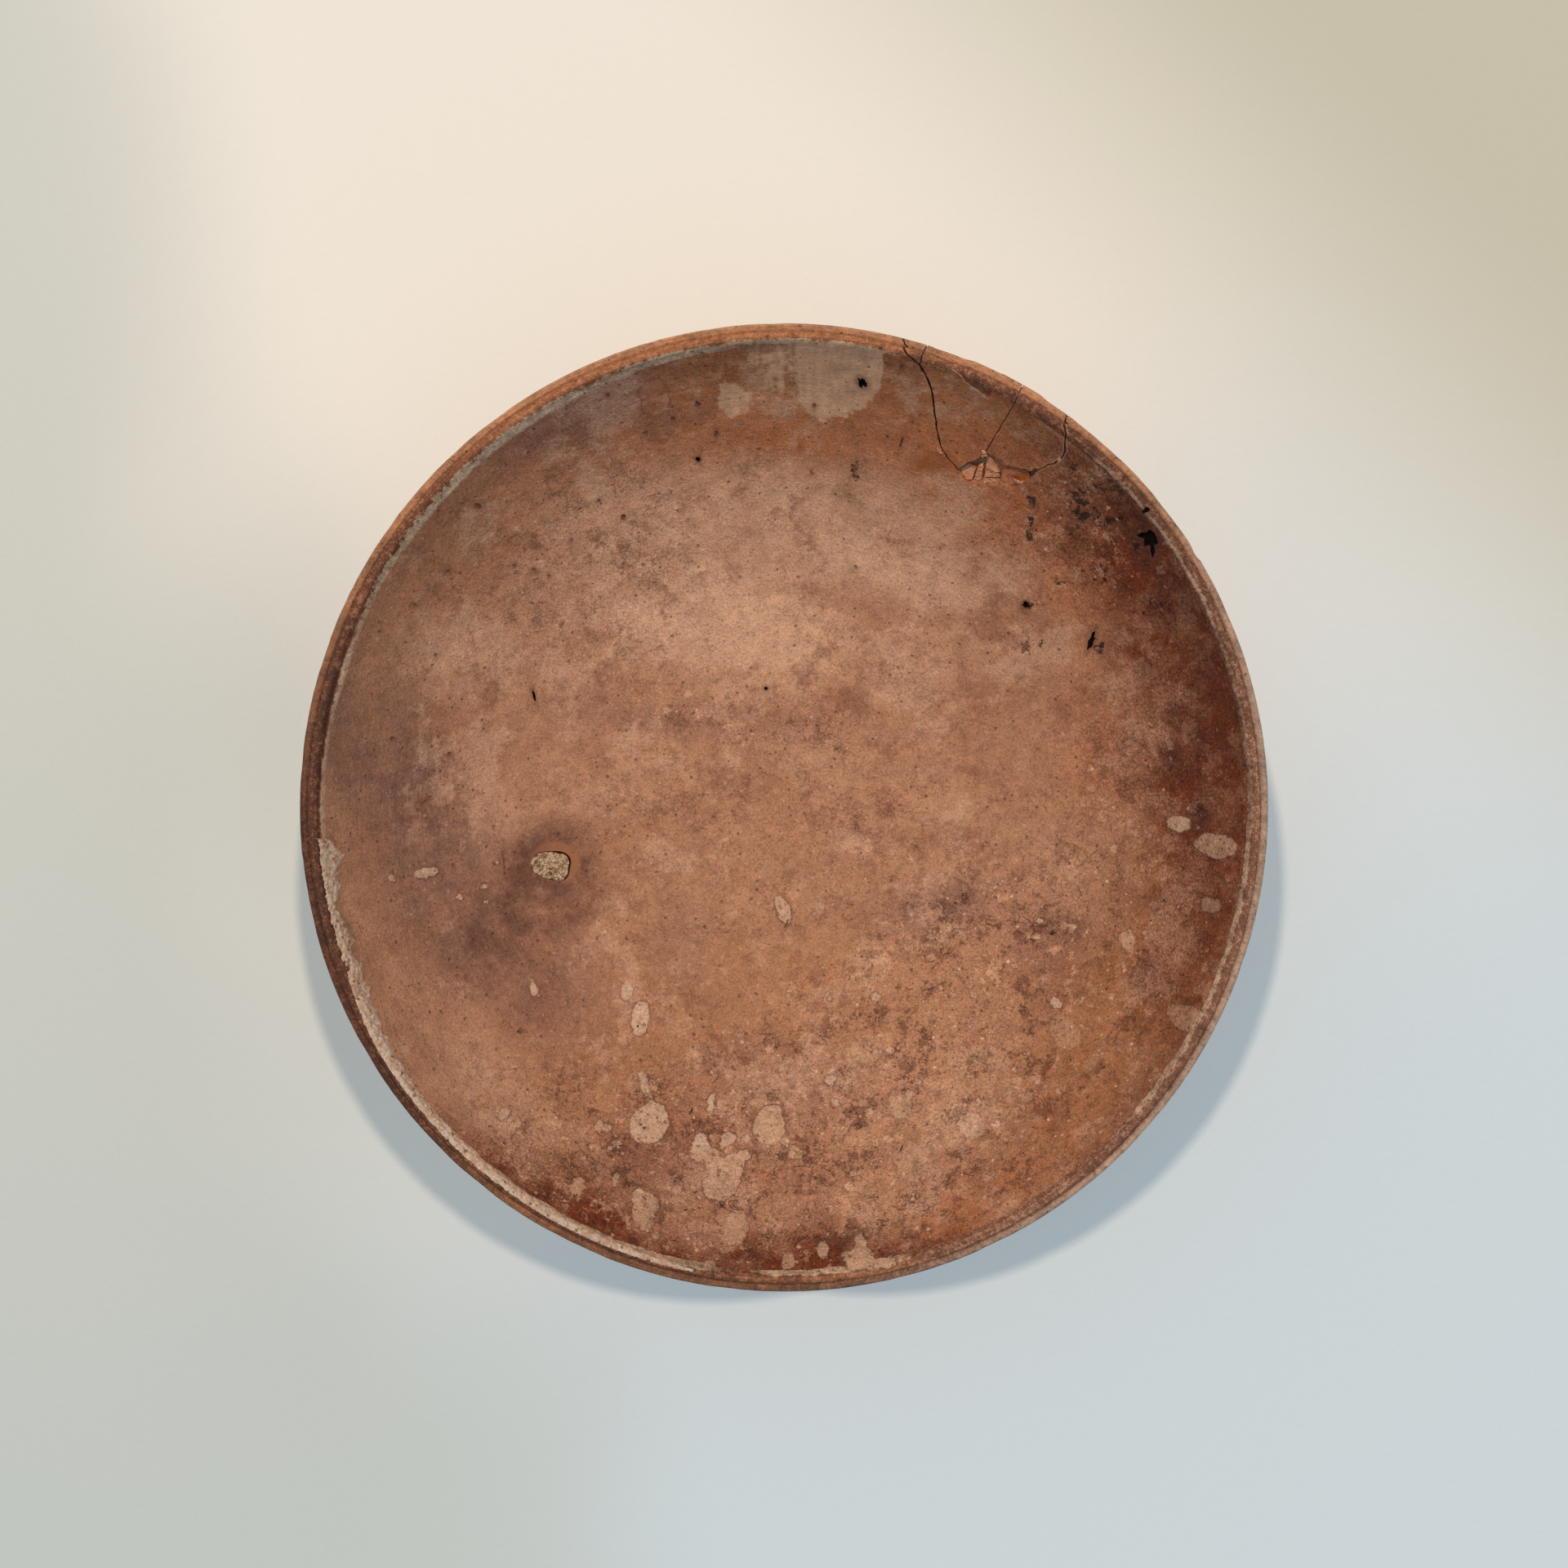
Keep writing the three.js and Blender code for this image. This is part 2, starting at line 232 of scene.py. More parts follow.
@dataclass(frozen=True)
class BowlSection:
    """The section that the bowl is turned from.

    Attributes:
        rim_radius: Axis to the outermost point of the bead.
        rim_height: Height of the lip's flat band.
        floor_level: Height of the inside at the centre.
        floor_arc_radius: Radius of the nearly flat middle of the inside.
        floor_radius: Where the floor's arc turns into the wall's.
        wall_thickness: Half way up the wall.
        lip_width: Outermost point of the bead to the lip's inner edge.
        lip_crown: Drop of the flat band to its inner edge.
        bead_width: Rolled outer edge, outside the groove.
        bead_depth: How far the bead reaches down the outside.
        bead_step: How far the bead's top lies below the band.
        groove_width: Width of the groove between bead and band.
        groove_depth: Its depth.
        neck_inset: Wall under the bead, inside the bead's face.
        foot_radius: Outside radius of the ring foot.
        foot_height: Height of the ring foot.
        foot_ring: Width of the ring.
        foot_recess: Height of the underside within the ring.
        foot_edge: Worn edge of the ring.
    """

    rim_radius: float
    rim_height: float
    floor_level: float = 9.0
    floor_arc_radius: float = 300.0
    floor_radius: float = 36.0
    wall_thickness: float = 5.5
    lip_width: float = 4.0
    lip_crown: float = 0.8
    bead_width: float = 1.6
    bead_depth: float = 4.2
    bead_step: float = 0.3
    groove_width: float = 0.5
    groove_depth: float = 0.55
    neck_inset: float = 1.5
    foot_radius: float = 40.0
    foot_height: float = 6.0
    foot_ring: float = 6.0
    foot_recess: float = 3.0
    foot_edge: float = 1.0

    @property
    def lip_inner(self) -> float:
        """Radius of the lip's inner edge."""
        return self.rim_radius - self.lip_width

    @property
    def neck_height(self) -> float:
        """Height of the neck under the bead."""
        return self.rim_height - self.bead_step - self.bead_depth

    def wall_arc(self) -> tuple[Point, float, float, float]:
        """Works out the wall's arc, tangent to the floor's arc.

        Returns:
            Its centre, its radius, and its slope where it starts and ends.
        """
        tilt = math.asin(self.floor_radius / self.floor_arc_radius)
        join_z = self.floor_level + self.floor_arc_radius * (1.0 - math.cos(tilt))
        chord_r = self.lip_inner - self.floor_radius
        chord_z = self.rim_height - self.lip_crown - join_z
        lean = -math.sin(tilt) * chord_r + math.cos(tilt) * chord_z
        radius = (chord_r**2 + chord_z**2) / (2.0 * lean)
        centre = (self.floor_radius - radius * math.sin(tilt), join_z + radius * math.cos(tilt))
        top = math.asin((self.lip_inner - centre[0]) / radius)
        return centre, radius, tilt, top

    def inside(self, radius: Array) -> tuple[Array, Array]:
        """Height and slope of the inside at distances from the axis.

        Args:
            radius: Distances from the axis.

        Returns:
            The heights, and the slopes in radians. Past the lip's inner edge the
            height is that of the lip.
        """
        centre, arc, _, _ = self.wall_arc()
        radius = np.asarray(radius, dtype=float)
        within = np.minimum(radius, self.lip_inner)
        floor_slope = np.arcsin(np.clip(within / self.floor_arc_radius, 0.0, 1.0))
        floor_z = self.floor_level + self.floor_arc_radius * (1.0 - np.cos(floor_slope))
        wall_slope = np.arcsin(np.clip((within - centre[0]) / arc, -1.0, 1.0))
        wall_z = centre[1] - arc * np.cos(wall_slope)
        on_floor = within <= self.floor_radius
        height = np.where(on_floor, floor_z, wall_z)
        height = np.where(radius > self.lip_inner, self.rim_height, height)
        return height, np.where(on_floor, floor_slope, wall_slope)

    def lip_points(self) -> list[Point]:
        """Corners of the lip from its inner edge over the bead to the neck."""
        band_r, band_z = self.lip_inner, self.rim_height
        groove_r = self.rim_radius - self.bead_width - self.groove_width / 2.0
        centre_r = self.rim_radius - self.bead_width / 2.0
        centre_z = band_z - self.bead_step - self.bead_depth / 2.0
        points = [
            (band_r + 0.3, band_z - self.lip_crown * 0.45),
            (band_r + 0.65, band_z - self.lip_crown * 0.15),
            (band_r + 1.1, band_z),
            (band_r + 1.6, band_z),
            (groove_r - self.groove_width / 2.0, band_z - self.groove_depth / 4.0),
            (groove_r, band_z - self.bead_step - self.groove_depth),
            (groove_r + self.groove_width / 2.0, band_z - self.bead_step - self.groove_depth * 0.6),
        ]
        for step in range(7):
            angle = math.radians(115.0 - 170.0 * step / 6.0)
            points.append((
                centre_r + self.bead_width / 2.0 * math.cos(angle),
                centre_z + self.bead_depth / 2.0 * math.sin(angle),
            ))
        points.append((self.rim_radius - self.neck_inset, self.neck_height))
        return points

    def outside_arc(self, steps: int) -> list[Point]:
        """The outside from the neck under the bead down to the foot.

        Args:
            steps: How many parts the arc has.

        Returns:
            Its points, both ends included.
        """
        middle = (self.floor_radius + self.lip_inner) / 2.0
        height, slope = self.inside(np.array([middle]))
        b = (
            middle + self.wall_thickness * math.sin(slope[0]),
            height[0] - self.wall_thickness * math.cos(slope[0]),
        )
        a = (self.foot_radius, self.foot_height)
        c = (self.rim_radius - self.neck_inset, self.neck_height)
        ab = (b[0] - a[0], b[1] - a[1])
        ac = (c[0] - a[0], c[1] - a[1])
        cross = 2.0 * (ab[0] * ac[1] - ab[1] * ac[0])
        ab2 = ab[0] ** 2 + ab[1] ** 2
        ac2 = ac[0] ** 2 + ac[1] ** 2
        centre = (a[0] + (ac[1] * ab2 - ab[1] * ac2) / cross, a[1] + (ab[0] * ac2 - ac[0] * ab2) / cross)
        radius = math.hypot(a[0] - centre[0], a[1] - centre[1])
        start = math.atan2(c[1] - centre[1], c[0] - centre[0])
        end = math.atan2(a[1] - centre[1], a[0] - centre[0])
        angles = [start + (end - start) * i / steps for i in range(steps + 1)]
        return [(centre[0] + radius * math.cos(t), centre[1] + radius * math.sin(t)) for t in angles]

    def foot_points(self) -> list[Point]:
        """The ring foot from its outer top round to the recess inside it."""
        inner = self.foot_radius - self.foot_ring
        return [
            (self.foot_radius + 0.1, self.foot_height - 0.9),
            (self.foot_radius - self.foot_edge / 4.0, self.foot_edge * 2.0),
            (self.foot_radius - self.foot_edge / 4.0, self.foot_edge),
            (self.foot_radius - self.foot_edge, 0.0),
            (inner + self.foot_edge * 1.6, 0.0),
            (inner + self.foot_edge / 2.0, 0.0),
            (inner, self.foot_edge),
            (inner - self.foot_edge, self.foot_recess),
        ]


def rounded(points: Sequence[Point], passes: int) -> list[Point]:
    """Cuts the corners of an open line so that it runs smoothly.

    Args:
        points: The line's corners.
        passes: How often the corners are cut.

    Returns:
        The smoother line, with the same ends.
    """
    line = list(points)
    for _ in range(passes):
        cut = [line[0]]
        for (ar, az), (br, bz) in zip(line[:-1], line[1:]):
            cut.append((0.75 * ar + 0.25 * br, 0.75 * az + 0.25 * bz))
            cut.append((0.25 * ar + 0.75 * br, 0.25 * az + 0.75 * bz))
        cut.append(line[-1])
        line = cut
    return line


def spaced(points: Sequence[Point], step: float) -> list[Point]:
    """Sets points evenly along a line, near a given step apart.

    Args:
        points: The line's corners.
        step: Wanted distance between points.

    Returns:
        The new points, both ends included.
    """
    array = np.array(points, dtype=float)
    run = run_along(array)
    count = max(2, int(round(run[-1] / step)) + 1)
    along = np.linspace(0.0, run[-1], count)
    return list(zip(np.interp(along, run, array[:, 0]), np.interp(along, run, array[:, 1])))


class Tint(Enum):
    """Soft stains of the fired clay. The purple is partly a painted sheen on the left wall, and the pale and
    the orange are partly painted light on the top wall.
    """

    PALE = "pale"
    PURPLE_AND_SHEEN = "purple_and_sheen"
    RED = "red"
    UMBER = "umber"
    OCHRE = "ochre"
    ORANGE = "orange"
    HALO = "halo"
    MOTTLE = "mottle"
    SOOTY = "sooty"


@dataclass(frozen=True)
class Mark:
    """An ellipse in plan.

    Attributes:
        x, y: Plan position of its centre.
        along, across: Half its length and breadth.
        turn: Degrees that its length is turned from +X.
    """

    x: float
    y: float
    along: float
    across: float
    turn: float = 0.0

    def share(self, x: Array, y: Array) -> Array:
        """Distance from its centre at plan positions: 0 there and 1 on its outline."""
        turn = math.radians(self.turn)
        dx, dy = x - self.x, y - self.y
        u = (dx * math.cos(turn) + dy * math.sin(turn)) / self.along
        v = (-dx * math.sin(turn) + dy * math.cos(turn)) / self.across
        return np.hypot(u, v)

    def inward(self, x: Array, y: Array) -> Array:
        """How far plan positions lie inside its outline, less than 0 outside it."""
        return (1.0 - self.share(x, y)) * min(self.along, self.across)


@dataclass(frozen=True)
class Stain(Mark):
    """A soft stain, with the share of the colour at its middle."""

    strength: float = 1.0


@dataclass(frozen=True)
class Splash(Mark):
    """A pale splash of hardened slip or lime that stands on the inside.

    Attributes:
        paleness: 0 for the colour of light clay, 1 for lime.
        rise: How far it stands up.
        cover: How well it hides the clay under it.
    """

    paleness: float = 0.0
    rise: float = 0.22
    cover: float = 0.9


@dataclass(frozen=True)
class Pit(Mark):
    """A sharp pit in the inside.

    Attributes:
        depth: How deep it is.
        ragged: How uneven its outline is, as a share of its size.
    """

    depth: float = 0.6
    ragged: float = 0.25

    @property
    def deep(self) -> bool:
        """Whether it is deep enough for the near-black finish and a stronger dark smear round it."""
        return self.depth > 0.55


STAINS = {tint: tuple(Stain(*row) for row in rows) for tint, rows in {
    # Pale and orange on the top wall, which faces away from the lamps, are partly stains and partly painted
    # light.
    Tint.PALE: (
        (-18, 44, 36, 15, -4, 0.85), (26, 55, 28, 9, -14, 0.65), (0, 66, 50, 14, 0, 0.6),
        (-34, 64, 24, 12, 20, 0.4), (-70, 33, 13, 11, 20, 0.55), (-50, 50, 20, 14, 40, 0.35),
        (4, 32, 10, 8, 60, 0.4), (26, -68, 22, 8, 10, 0.15), (-62, -62, 18, 7, -42, 0.35),
        (-68, -5, 9, 10, 0, 0.25), (60, -12, 12, 7, 20, 0.2), (-40, 1, 13, 6, 0, 0.3),
        (80, 45, 5, 9, 30, 0.3), (28, 32, 18, 10, 0, 0.32), (60, 54, 9, 9, 0, 0.25),
        (2, 13, 10, 7, 0, 0.28), (-32, 42, 12, 11, 0, 0.28),
    ),
    Tint.ORANGE: (
        (14, 87, 50, 12, -4, 0.9), (38, 78, 26, 9, -20, 0.6), (46, 67, 20, 9, -28, 0.55),
        (-42, 82, 34, 9, 28, 0.3), (-80, 52, 24, 8, 54, 0.15), (66, 50, 13, 17, -40, 0.6),
        (70, 18, 10, 26, 0, 0.35), (42, -85, 19, 7, 30, 0.8), (62, -64, 17, 9, 46, 0.5),
        (76, -40, 9, 20, -30, 0.5), (84, 12, 5, 9, 8, 0.35), (81, -36, 6, 9, -24, 0.3),
    ),
    Tint.RED: (
        (0, 94, 60, 6, 0, 0.35), (60, 77, 26, 7, -42, 0.36), (84, 28, 12, 26, 6, 0.35),
        (86, -4, 8, 22, 0, 0.45), (84, -34, 8, 20, -26, 0.35), (-44, -84, 36, 7, -28, 0.75),
        (-18, -76, 26, 9, -8, 0.28), (60, -38, 11, 8, 0, 0.2), (-2, -94, 40, 5, 2, 0.8),
        (62, -77, 20, 4.5, 42, 0.55), (74, 8, 8, 14, 0, 0.3),
    ),
    # Grey-purple, strongest on the left wall: the clay's tint and a painted sheen.
    Tint.PURPLE_AND_SHEEN: (
        (-81, 4, 8, 24, 4, 0.85), (-92, 14, 4.5, 22, 8, 0.65), (-76, -14, 13, 26, 12, 0.65),
        (-60, -34, 24, 14, -40, 0.6), (-4, -62, 28, 11, 0, 0.45), (-44, 84, 24, 8, 28, 0.55),
        (-72, 60, 20, 5, 50, 0.14), (-46, -50, 18, 11, -20, 0.3), (36, -24, 17, 8, 15, 0.55),
        (-24, -34, 9, 13, 0, 0.35), (-20, 20, 34, 5, -2, 0.4), (-30, -76, 16, 6, -10, 0.45),
        (60, -32, 12, 10, 0, 0.35), (-56, -42, 14, 8, -30, 0.3),
    ),
    Tint.HALO: (
        (-53.5, -14.2, 12.4, 11.6, 0, 0.96), (-55.5, -22.5, 17, 9.5, 10, 0.92),
        (-64, -31, 12, 9, 40, 0.45),
    ),
    Tint.UMBER: (
        (85, 14, 5, 10, 0, 0.4), (88.5, -2, 3, 4, 0, 0.55), (82, 42, 4, 8, 20, 0.25),
        (64, -28, 7, 4, 0, 0.35), (40, -22, 9, 3, 10, 0.18),
    ),
    Tint.OCHRE: (
        (72, -44, 26, 18, 45, 0.5), (84, -18, 12, 18, 0, 0.6), (80, 28, 10, 16, 0, 0.35),
        (58, -66, 22, 12, 40, 0.35), (-10, -46, 50, 22, 0, 0.3), (-40, -62, 30, 16, -20, 0.25),
    ),
    Tint.MOTTLE: (
        (26, -66, 66, 32, 20, 0.95), (-20, -78, 56, 22, -10, 0.95), (44, -32, 32, 20, 20, 0.9),
        (80, -8, 22, 50, 0, 0.5), (66, 60, 22, 16, -30, 0.8), (-44, 54, 36, 24, 30, 0.45),
        (-10, 20, 30, 8, -10, 0.55), (0, 0, 50, 40, 0, 0.25),
    ),
    Tint.SOOTY: (
        (61.8, 66, 5, 2.2, -25, 1), (66.9, 66.8, 3.8, 2, -12, 0.95), (64.4, 61.9, 5, 3, -25, 0.88),
        (69.9, 60.2, 2.8, 2.2, 0, 0.8), (70.4, 65.4, 3.2, 1.6, -20, 0.8), (53.7, 65.4, 1.4, 3, 10, 1),
        (54.2, 60.4, 1.6, 3.6, 0, 0.9), (76, 55, 3, 4.6, 20, 0.85), (68.2, 50.6, 4.4, 3.6, -30, 0.7),
        (60.6, 50, 2, 1.4, 0, 0.7), (63.8, 48.4, 3, 3.8, 0, 0.62), (54.9, 45.6, 2, 2.6, 0, 0.85),
        (55.6, 36.2, 3.6, 3.2, 0, 0.82), (60.6, 34.6, 4.4, 4.6, 0, 0.58), (69.6, 35.2, 2.8, 2.6, -30, 0.8),
        (70.6, 47, 2.2, 2.2, 0, 0.64), (78.4, 43.4, 3.6, 4.6, -20, 0.68), (82.4, 40, 3.6, 5.6, 0, 0.7),
        (60.6, 71, 1.8, 1.6, 0, 0.8), (50.8, 69.6, 2, 1.2, 0, 0.7), (15.8, 74.4, 1.6, 2.4, 0, 0.85),
        (84, 12, 6, 12, 0, 0.58), (88.6, -1.2, 2.4, 2.2, 0, 0.85), (-20.4, -68.8, 4, 2.2, 0, 0.62),
        (-58.4, -50.2, 2.4, 1.8, 0, 0.75), (63, -28.6, 6, 2.6, 10, 0.56), (-16, -86, 12, 4, 0, 0.56),
        (20, 70, 60, 22, -10, 0.3),
    ),
}.items()}

SPLASHES = tuple(Splash(*row) for row in (
    (-30, -70.6, 4.4, 4, 0, 0.35, 0.32), (-3.3, -72, 3.6, 3.9, 20, 0.15, 0.28),
    (-2.2, -69.6, 1.9, 1.6, 30, 0.1, 0.24), (-13.6, -81.4, 4.3, 3.6, 20, 0.1, 0.26),
    (-15.6, -78.2, 2, 2.2, 0, 0.1, 0.24), (-11.4, -79.6, 2.6, 3, 0, 0.1, 0.24),
    (-18.8, -76.6, 2.3, 1.6, 0, 0.1, 0.28), (-18.6, -75.2, 1.8, 2.2, 0, 0.8, 0.3),
    (-12.4, -74.3, 1.7, 1.6, 0, 0.3, 0.24), (-13.2, -75.6, 1, 0.8, 0, 0.2, 0.2),
    (-9.6, -77.3, 1.1, 0.9, 0, 0.15, 0.2), (-8, -77.4, 0.8, 0.9, 0, 0.15, 0.2),
    (-29.4, -85.2, 2.7, 2.6, 0, 0.1, 0.22, 0.7), (-31, -83.2, 1.5, 1.4, 0, 0.3, 0.22),
    (-28.8, -87.4, 1.6, 1.6, 0, 0.1, 0.2, 0.6), (-10.4, -89.4, 2.6, 2.8, 0, 0.05, 0.2, 0.65),
    (-32.9, -49.1, 2.2, 3.8, -4, 0.45, 0.24), (-36.2, -42.8, 1.6, 2.3, 0, 0.55, 0.24),
    (-0.2, -24.6, 1.7, 3.5, 22, 0.25, 0.24), (-78.7, -14.8, 2.4, 1.1, 8, 0.25, 0.24),
    (-84.6, -15.6, 1, 0.9, 0, 0.1, 0.16), (-76, -5.9, 0.8, 0.5, 0, 0.3, 0.16),
    (-65.3, -12.9, 0.7, 0.7, 0, 0.35, 0.18), (-67.3, -18.3, 1, 0.7, 10, 0.3, 0.16),
    (-72.1, -20.4, 0.9, 0.9, 0, 0.45, 0.18), (-76.6, -20.8, 0.5, 0.5, 0, 0.2, 0.14),
    (-67.2, -21.7, 0.5, 0.5, 0, 0.4, 0.14), (-56.5, -41.3, 0.9, 2.1, 28, 0.45, 0.2),
    (-59.4, -31.4, 1.1, 0.6, 25, 0.3, 0.16), (-43.6, -80.2, 1.6, 1.5, 0, 0.05, 0.2, 0.7),
    (-36, -79.8, 0.9, 0.8, 0, 0.1, 0.16), (-40.4, -70.4, 1.1, 1.4, 0, 0.1, 0.18, 0.7),
    (-38.7, -70.8, 0.9, 0.9, 0, 0.1, 0.18), (-38, -74.6, 0.9, 0.8, 0, 0.2, 0.16),
    (-59.8, -65.6, 1.2, 1.2, 0, 0.25, 0.16), (0.9, -94.3, 1.4, 1.2, 0, 0, 0.18, 0.6),
    (-15.2, -94.6, 1.4, 1, 0, 0, 0.18, 0.6), (85.4, -3.7, 2, 1.9, 0, 0.5, 0.26, 0.75),
    (91, -8.1, 3.2, 2.6, -10, 0.1, 0.3, 0.58), (75.4, -29.6, 1.6, 2.4, 0, 0.2, 0.2, 0.6),
    (89.8, -20.6, 1.6, 1.6, 0, 0.15, 0.18, 0.4), (-16.4, -66.6, 0.7, 1.3, -25, 0.6, 0.18),
    (-16.5, -68.3, 1, 0.8, 0, 0.6, 0.18), (-31.4, -63, 1, 3, 24, 0.75, 0.1, 0.45),
    (10.6, -62.7, 1.4, 1.2, 0, 0.45, 0.2), (11.7, -67.3, 1.1, 1, 0, 0.4, 0.18),
    (2.6, -77, 1.8, 1.2, 0, 0.15, 0.18, 0.6), (10.8, -45, 0.8, 0.8, 0, 0.3, 0.16),
    (1.4, -43.6, 0.8, 0.7, 0, 0.4, 0.16), (21.3, -44.6, 1.4, 1.1, 0, 0.45, 0.18),
    (18.6, -56, 4, 3, 10, 0.1, 0.16, 0.3), (27.7, -77.6, 3.6, 3.9, 0, 0.08, 0.24, 0.35),
    (45.9, -56.3, 5.2, 2.4, -12, 0.05, 0.24, 0.35), (26, -67, 2.6, 3, 0, 0.35, 0.12, 0.4),
    (62, -50, 3, 3.4, 20, 0.1, 0.12, 0.3), (60.6, -44, 1.2, 1.2, 0, 0.55, 0.14),
    (84, -44, 3.6, 2.6, -20, 0.08, 0.2, 0.4), (58.3, -26.5, 0.9, 0.9, 0, 0.4, 0.16),
    (57.6, -30, 0.9, 0.7, 0, 0.4, 0.16), (65, -30.2, 0.7, 0.5, 0, 0.4, 0.14),
    (40.8, -69.9, 2.7, 2.4, 0, 0.9, 0.14, 0.3),
))

RIM_DRIPS = tuple(Splash(*row) for row in (
    (15.6, -93.4, 3.2, 1.6, 4, 0.05, 0.4), (16, -91.6, 1.4, 1.9, 10, 0.05, 0.34),
    (20.4, -93.8, 2.2, 0.9, 12, 0.05, 0.22), (8.1, -92.6, 1.1, 1.1, 0, 0, 0.2),
))

PITS = tuple(Pit(*row) for row in (
    (76.1, 55.8, 1.75, 1.1, -58, 1, 0.24), (75, 56.6, 1.1, 0.5, -20, 0.8, 0.3),
    (76.9, 53.7, 0.35, 1.4, 14, 0.7, 0.25), (74.4, 61, 0.8, 0.6, 0, 0.7, 0.3),
    (62.9, 65.7, 1.1, 0.6, -15, 0.5, 0.6), (60.8, 66.6, 0.9, 0.3, -40, 0.4, 0.5),
    (68, 66.9, 1.1, 0.4, 10, 0.4, 0.6), (66.4, 67.2, 0.5, 0.4, 0, 0.4, 0.5),
    (70.2, 67.9, 0.4, 0.4, 0, 0.5, 0.3), (69.2, 59.4, 0.6, 0.6, 0, 0.5, 0.6),
    (65.4, 61.6, 0.5, 0.4, 0, 0.4, 0.4), (63.2, 60.8, 0.9, 0.5, -30, 0.4, 0.6),
    (53.8, 65.3, 0.4, 1.1, 10, 0.5, 0.5), (54, 60.4, 0.5, 0.6, 0, 0.5, 0.6),
    (53.6, 59.3, 0.3, 0.3, 0, 0.4, 0.4), (61, 71.2, 0.4, 0.4, 0, 0.5, 0.4),
    (54.6, 45.3, 0.9, 0.8, 0, 0.8, 0.6), (54.9, 35.9, 0.9, 1.1, 20, 0.4, 0.8),
    (68.2, 36.6, 0.55, 1.8, -14, 0.8, 0.35), (69.4, 34.4, 0.7, 0.25, -40, 0.4, 0.4),
    (-57.2, 25, 0.28, 1.3, 12, 0.6, 0.2), (-19, 76.6, 0.55, 0.45, 0, 0.8, 0.2),
    (-4.2, 27.3, 0.42, 0.4, 0, 0.6, 0.2), (15.9, 74.5, 0.7, 1, 0, 0.5, 0.6),
    (6.2, 74.4, 0.3, 0.7, 35, 0.5, 0.3), (-79.4, 0.8, 0.95, 0.3, 52, 0.5, 0.3),
    (-80.6, -0.8, 0.4, 0.3, 40, 0.4, 0.4), (-58.4, -50.2, 0.8, 0.5, 0, 0.45, 0.5),
    (16.5, 89.7, 1.15, 0.6, -24, 0.8, 0.45), (24.4, 91.3, 0.4, 0.5, 0, 0.5, 0.3),
    (25.7, 79.6, 0.22, 1, -14, 0.3, 0.4), (22.6, 80.6, 0.25, 0.35, 0, 0.4, 0.3),
    (-64.9, 63.7, 0.65, 0.6, 0, 0.5, 0.3), (-59.4, 53, 0.55, 0.5, 0, 0.5, 0.3),
    (-55.6, 52.6, 0.55, 0.5, 0, 0.5, 0.3), (-52.6, 51.4, 0.5, 0.45, 0, 0.4, 0.3),
    (-71.8, 50.4, 0.6, 0.5, 0, 0.4, 0.3), (-78.6, 43, 0.5, 0.45, 0, 0.5, 0.3),
    (-36, 64.6, 0.6, 0.55, 0, 0.5, 0.3), (-40.9, 67.5, 0.4, 0.35, 0, 0.4, 0.3),
    (-23.9, 83.5, 0.5, 0.45, 0, 0.5, 0.3), (-36.8, 86, 0.5, 0.5, 0, 0.5, 0.3),
    (-18.5, 86.2, 0.6, 0.6, 0, 0.5, 0.3), (-14.8, 81.4, 0.5, 0.6, 0, 0.5, 0.3),
    (-30, 80.6, 0.6, 0.5, 0, 0.4, 0.4), (-76, 33, 0.45, 0.4, 0, 0.4, 0.3),
    (-66.4, 41.8, 0.5, 0.4, 0, 0.4, 0.4), (-84.6, 14.6, 0.5, 0.45, 0, 0.5, 0.3),
    (-74.6, 11.6, 0.45, 0.45, 0, 0.5, 0.3), (6.5, 86.4, 0.5, 0.5, 0, 0.5, 0.3),
    (-33.6, -50.8, 0.25, 0.25, 0, 0.4, 0.2), (-31, -71.6, 0.42, 0.4, 0, 0.45, 0.3),
    (-28.4, -69.8, 0.22, 0.2, 0, 0.3, 0.3), (0.5, -28.2, 0.18, 0.9, -28, 0.3, 0.3),
    (26, -75.6, 0.2, 0.9, -30, 0.4, 0.4), (85.8, -17, 0.4, 0.4, 0, 0.4, 0.3),
    (-61.5, -10.8, 0.35, 0.35, 0, 0.5, 0.3), (-63.9, -12.6, 0.16, 2.2, 6, 0.4, 0.2),
))

# Angle and distance in from the rim of the frame that the flake scar's edge is drawn in.
SCAR_PLACE = (64.0, 10.0)
SCAR_EDGE = (
    (72.2, 3.3), (71.2, 2.7), (70.5, 2.7), (69.0, 3.5), (67.2, 4.1), (66.1, 4.7), (64.8, 5.0),
    (63.3, 5.3),
)
NODULE_SEAT = Splash(-53.9, -13.9, 4.9, 3.5, -8.0)
NODULE_RING = Splash(-53.0, -13.3, 5.1, 4.5, -4.0)
AMBER_STAIN = Splash(32.6, 75.0, 6.4, 2.6, -4.0)
RUST_STAIN = Splash(3.6, 79.4, 1.0, 2.4, -14.0)
SCAR_RING = Splash(-27.4, 86.6, 3.4, 3.0, 20.0)
WASH_LOBES = tuple(Splash(*row) for row in (
    (11.2, 92.6, 9.2, 8.3, 0, 1), (15.2, 91, 5.2, 5.6, 0, 1), (8.4, 89.6, 5.6, 5.6, 0, 0.85),
    (-11, 87.3, 3.3, 2.9, 0, 0.85), (-0.5, 92.6, 9, 5.2, 6, 0.55), (-3.6, 88.4, 7.5, 3.8, 0, 0.4),
))


@dataclass(frozen=True)
class RimStain:
    """A soft stain that follows the rim.

    Attributes:
        tint: Which colour it has.
        start, end, soft: Its stretch of the rim and how softly it fades, degrees.
        reach, full: How far in from the rim it starts to show, and shows in full.
        strength: Share of the colour there.
    """

    tint: Tint
    start: float
    end: float
    soft: float
    reach: float
    full: float
    strength: float


@dataclass(frozen=True)
class LimeLine:
    """A stretch of the pale line of lime along the lip's inner edge.

    Attributes:
        start, end, soft: Its stretch of the rim and how softly it fades, degrees.
        inset: Distance of its middle in from the rim.
        half: Half its width.
        strength: How well it covers.
    """

    start: float
    end: float
    soft: float
    inset: float
    half: float
    strength: float


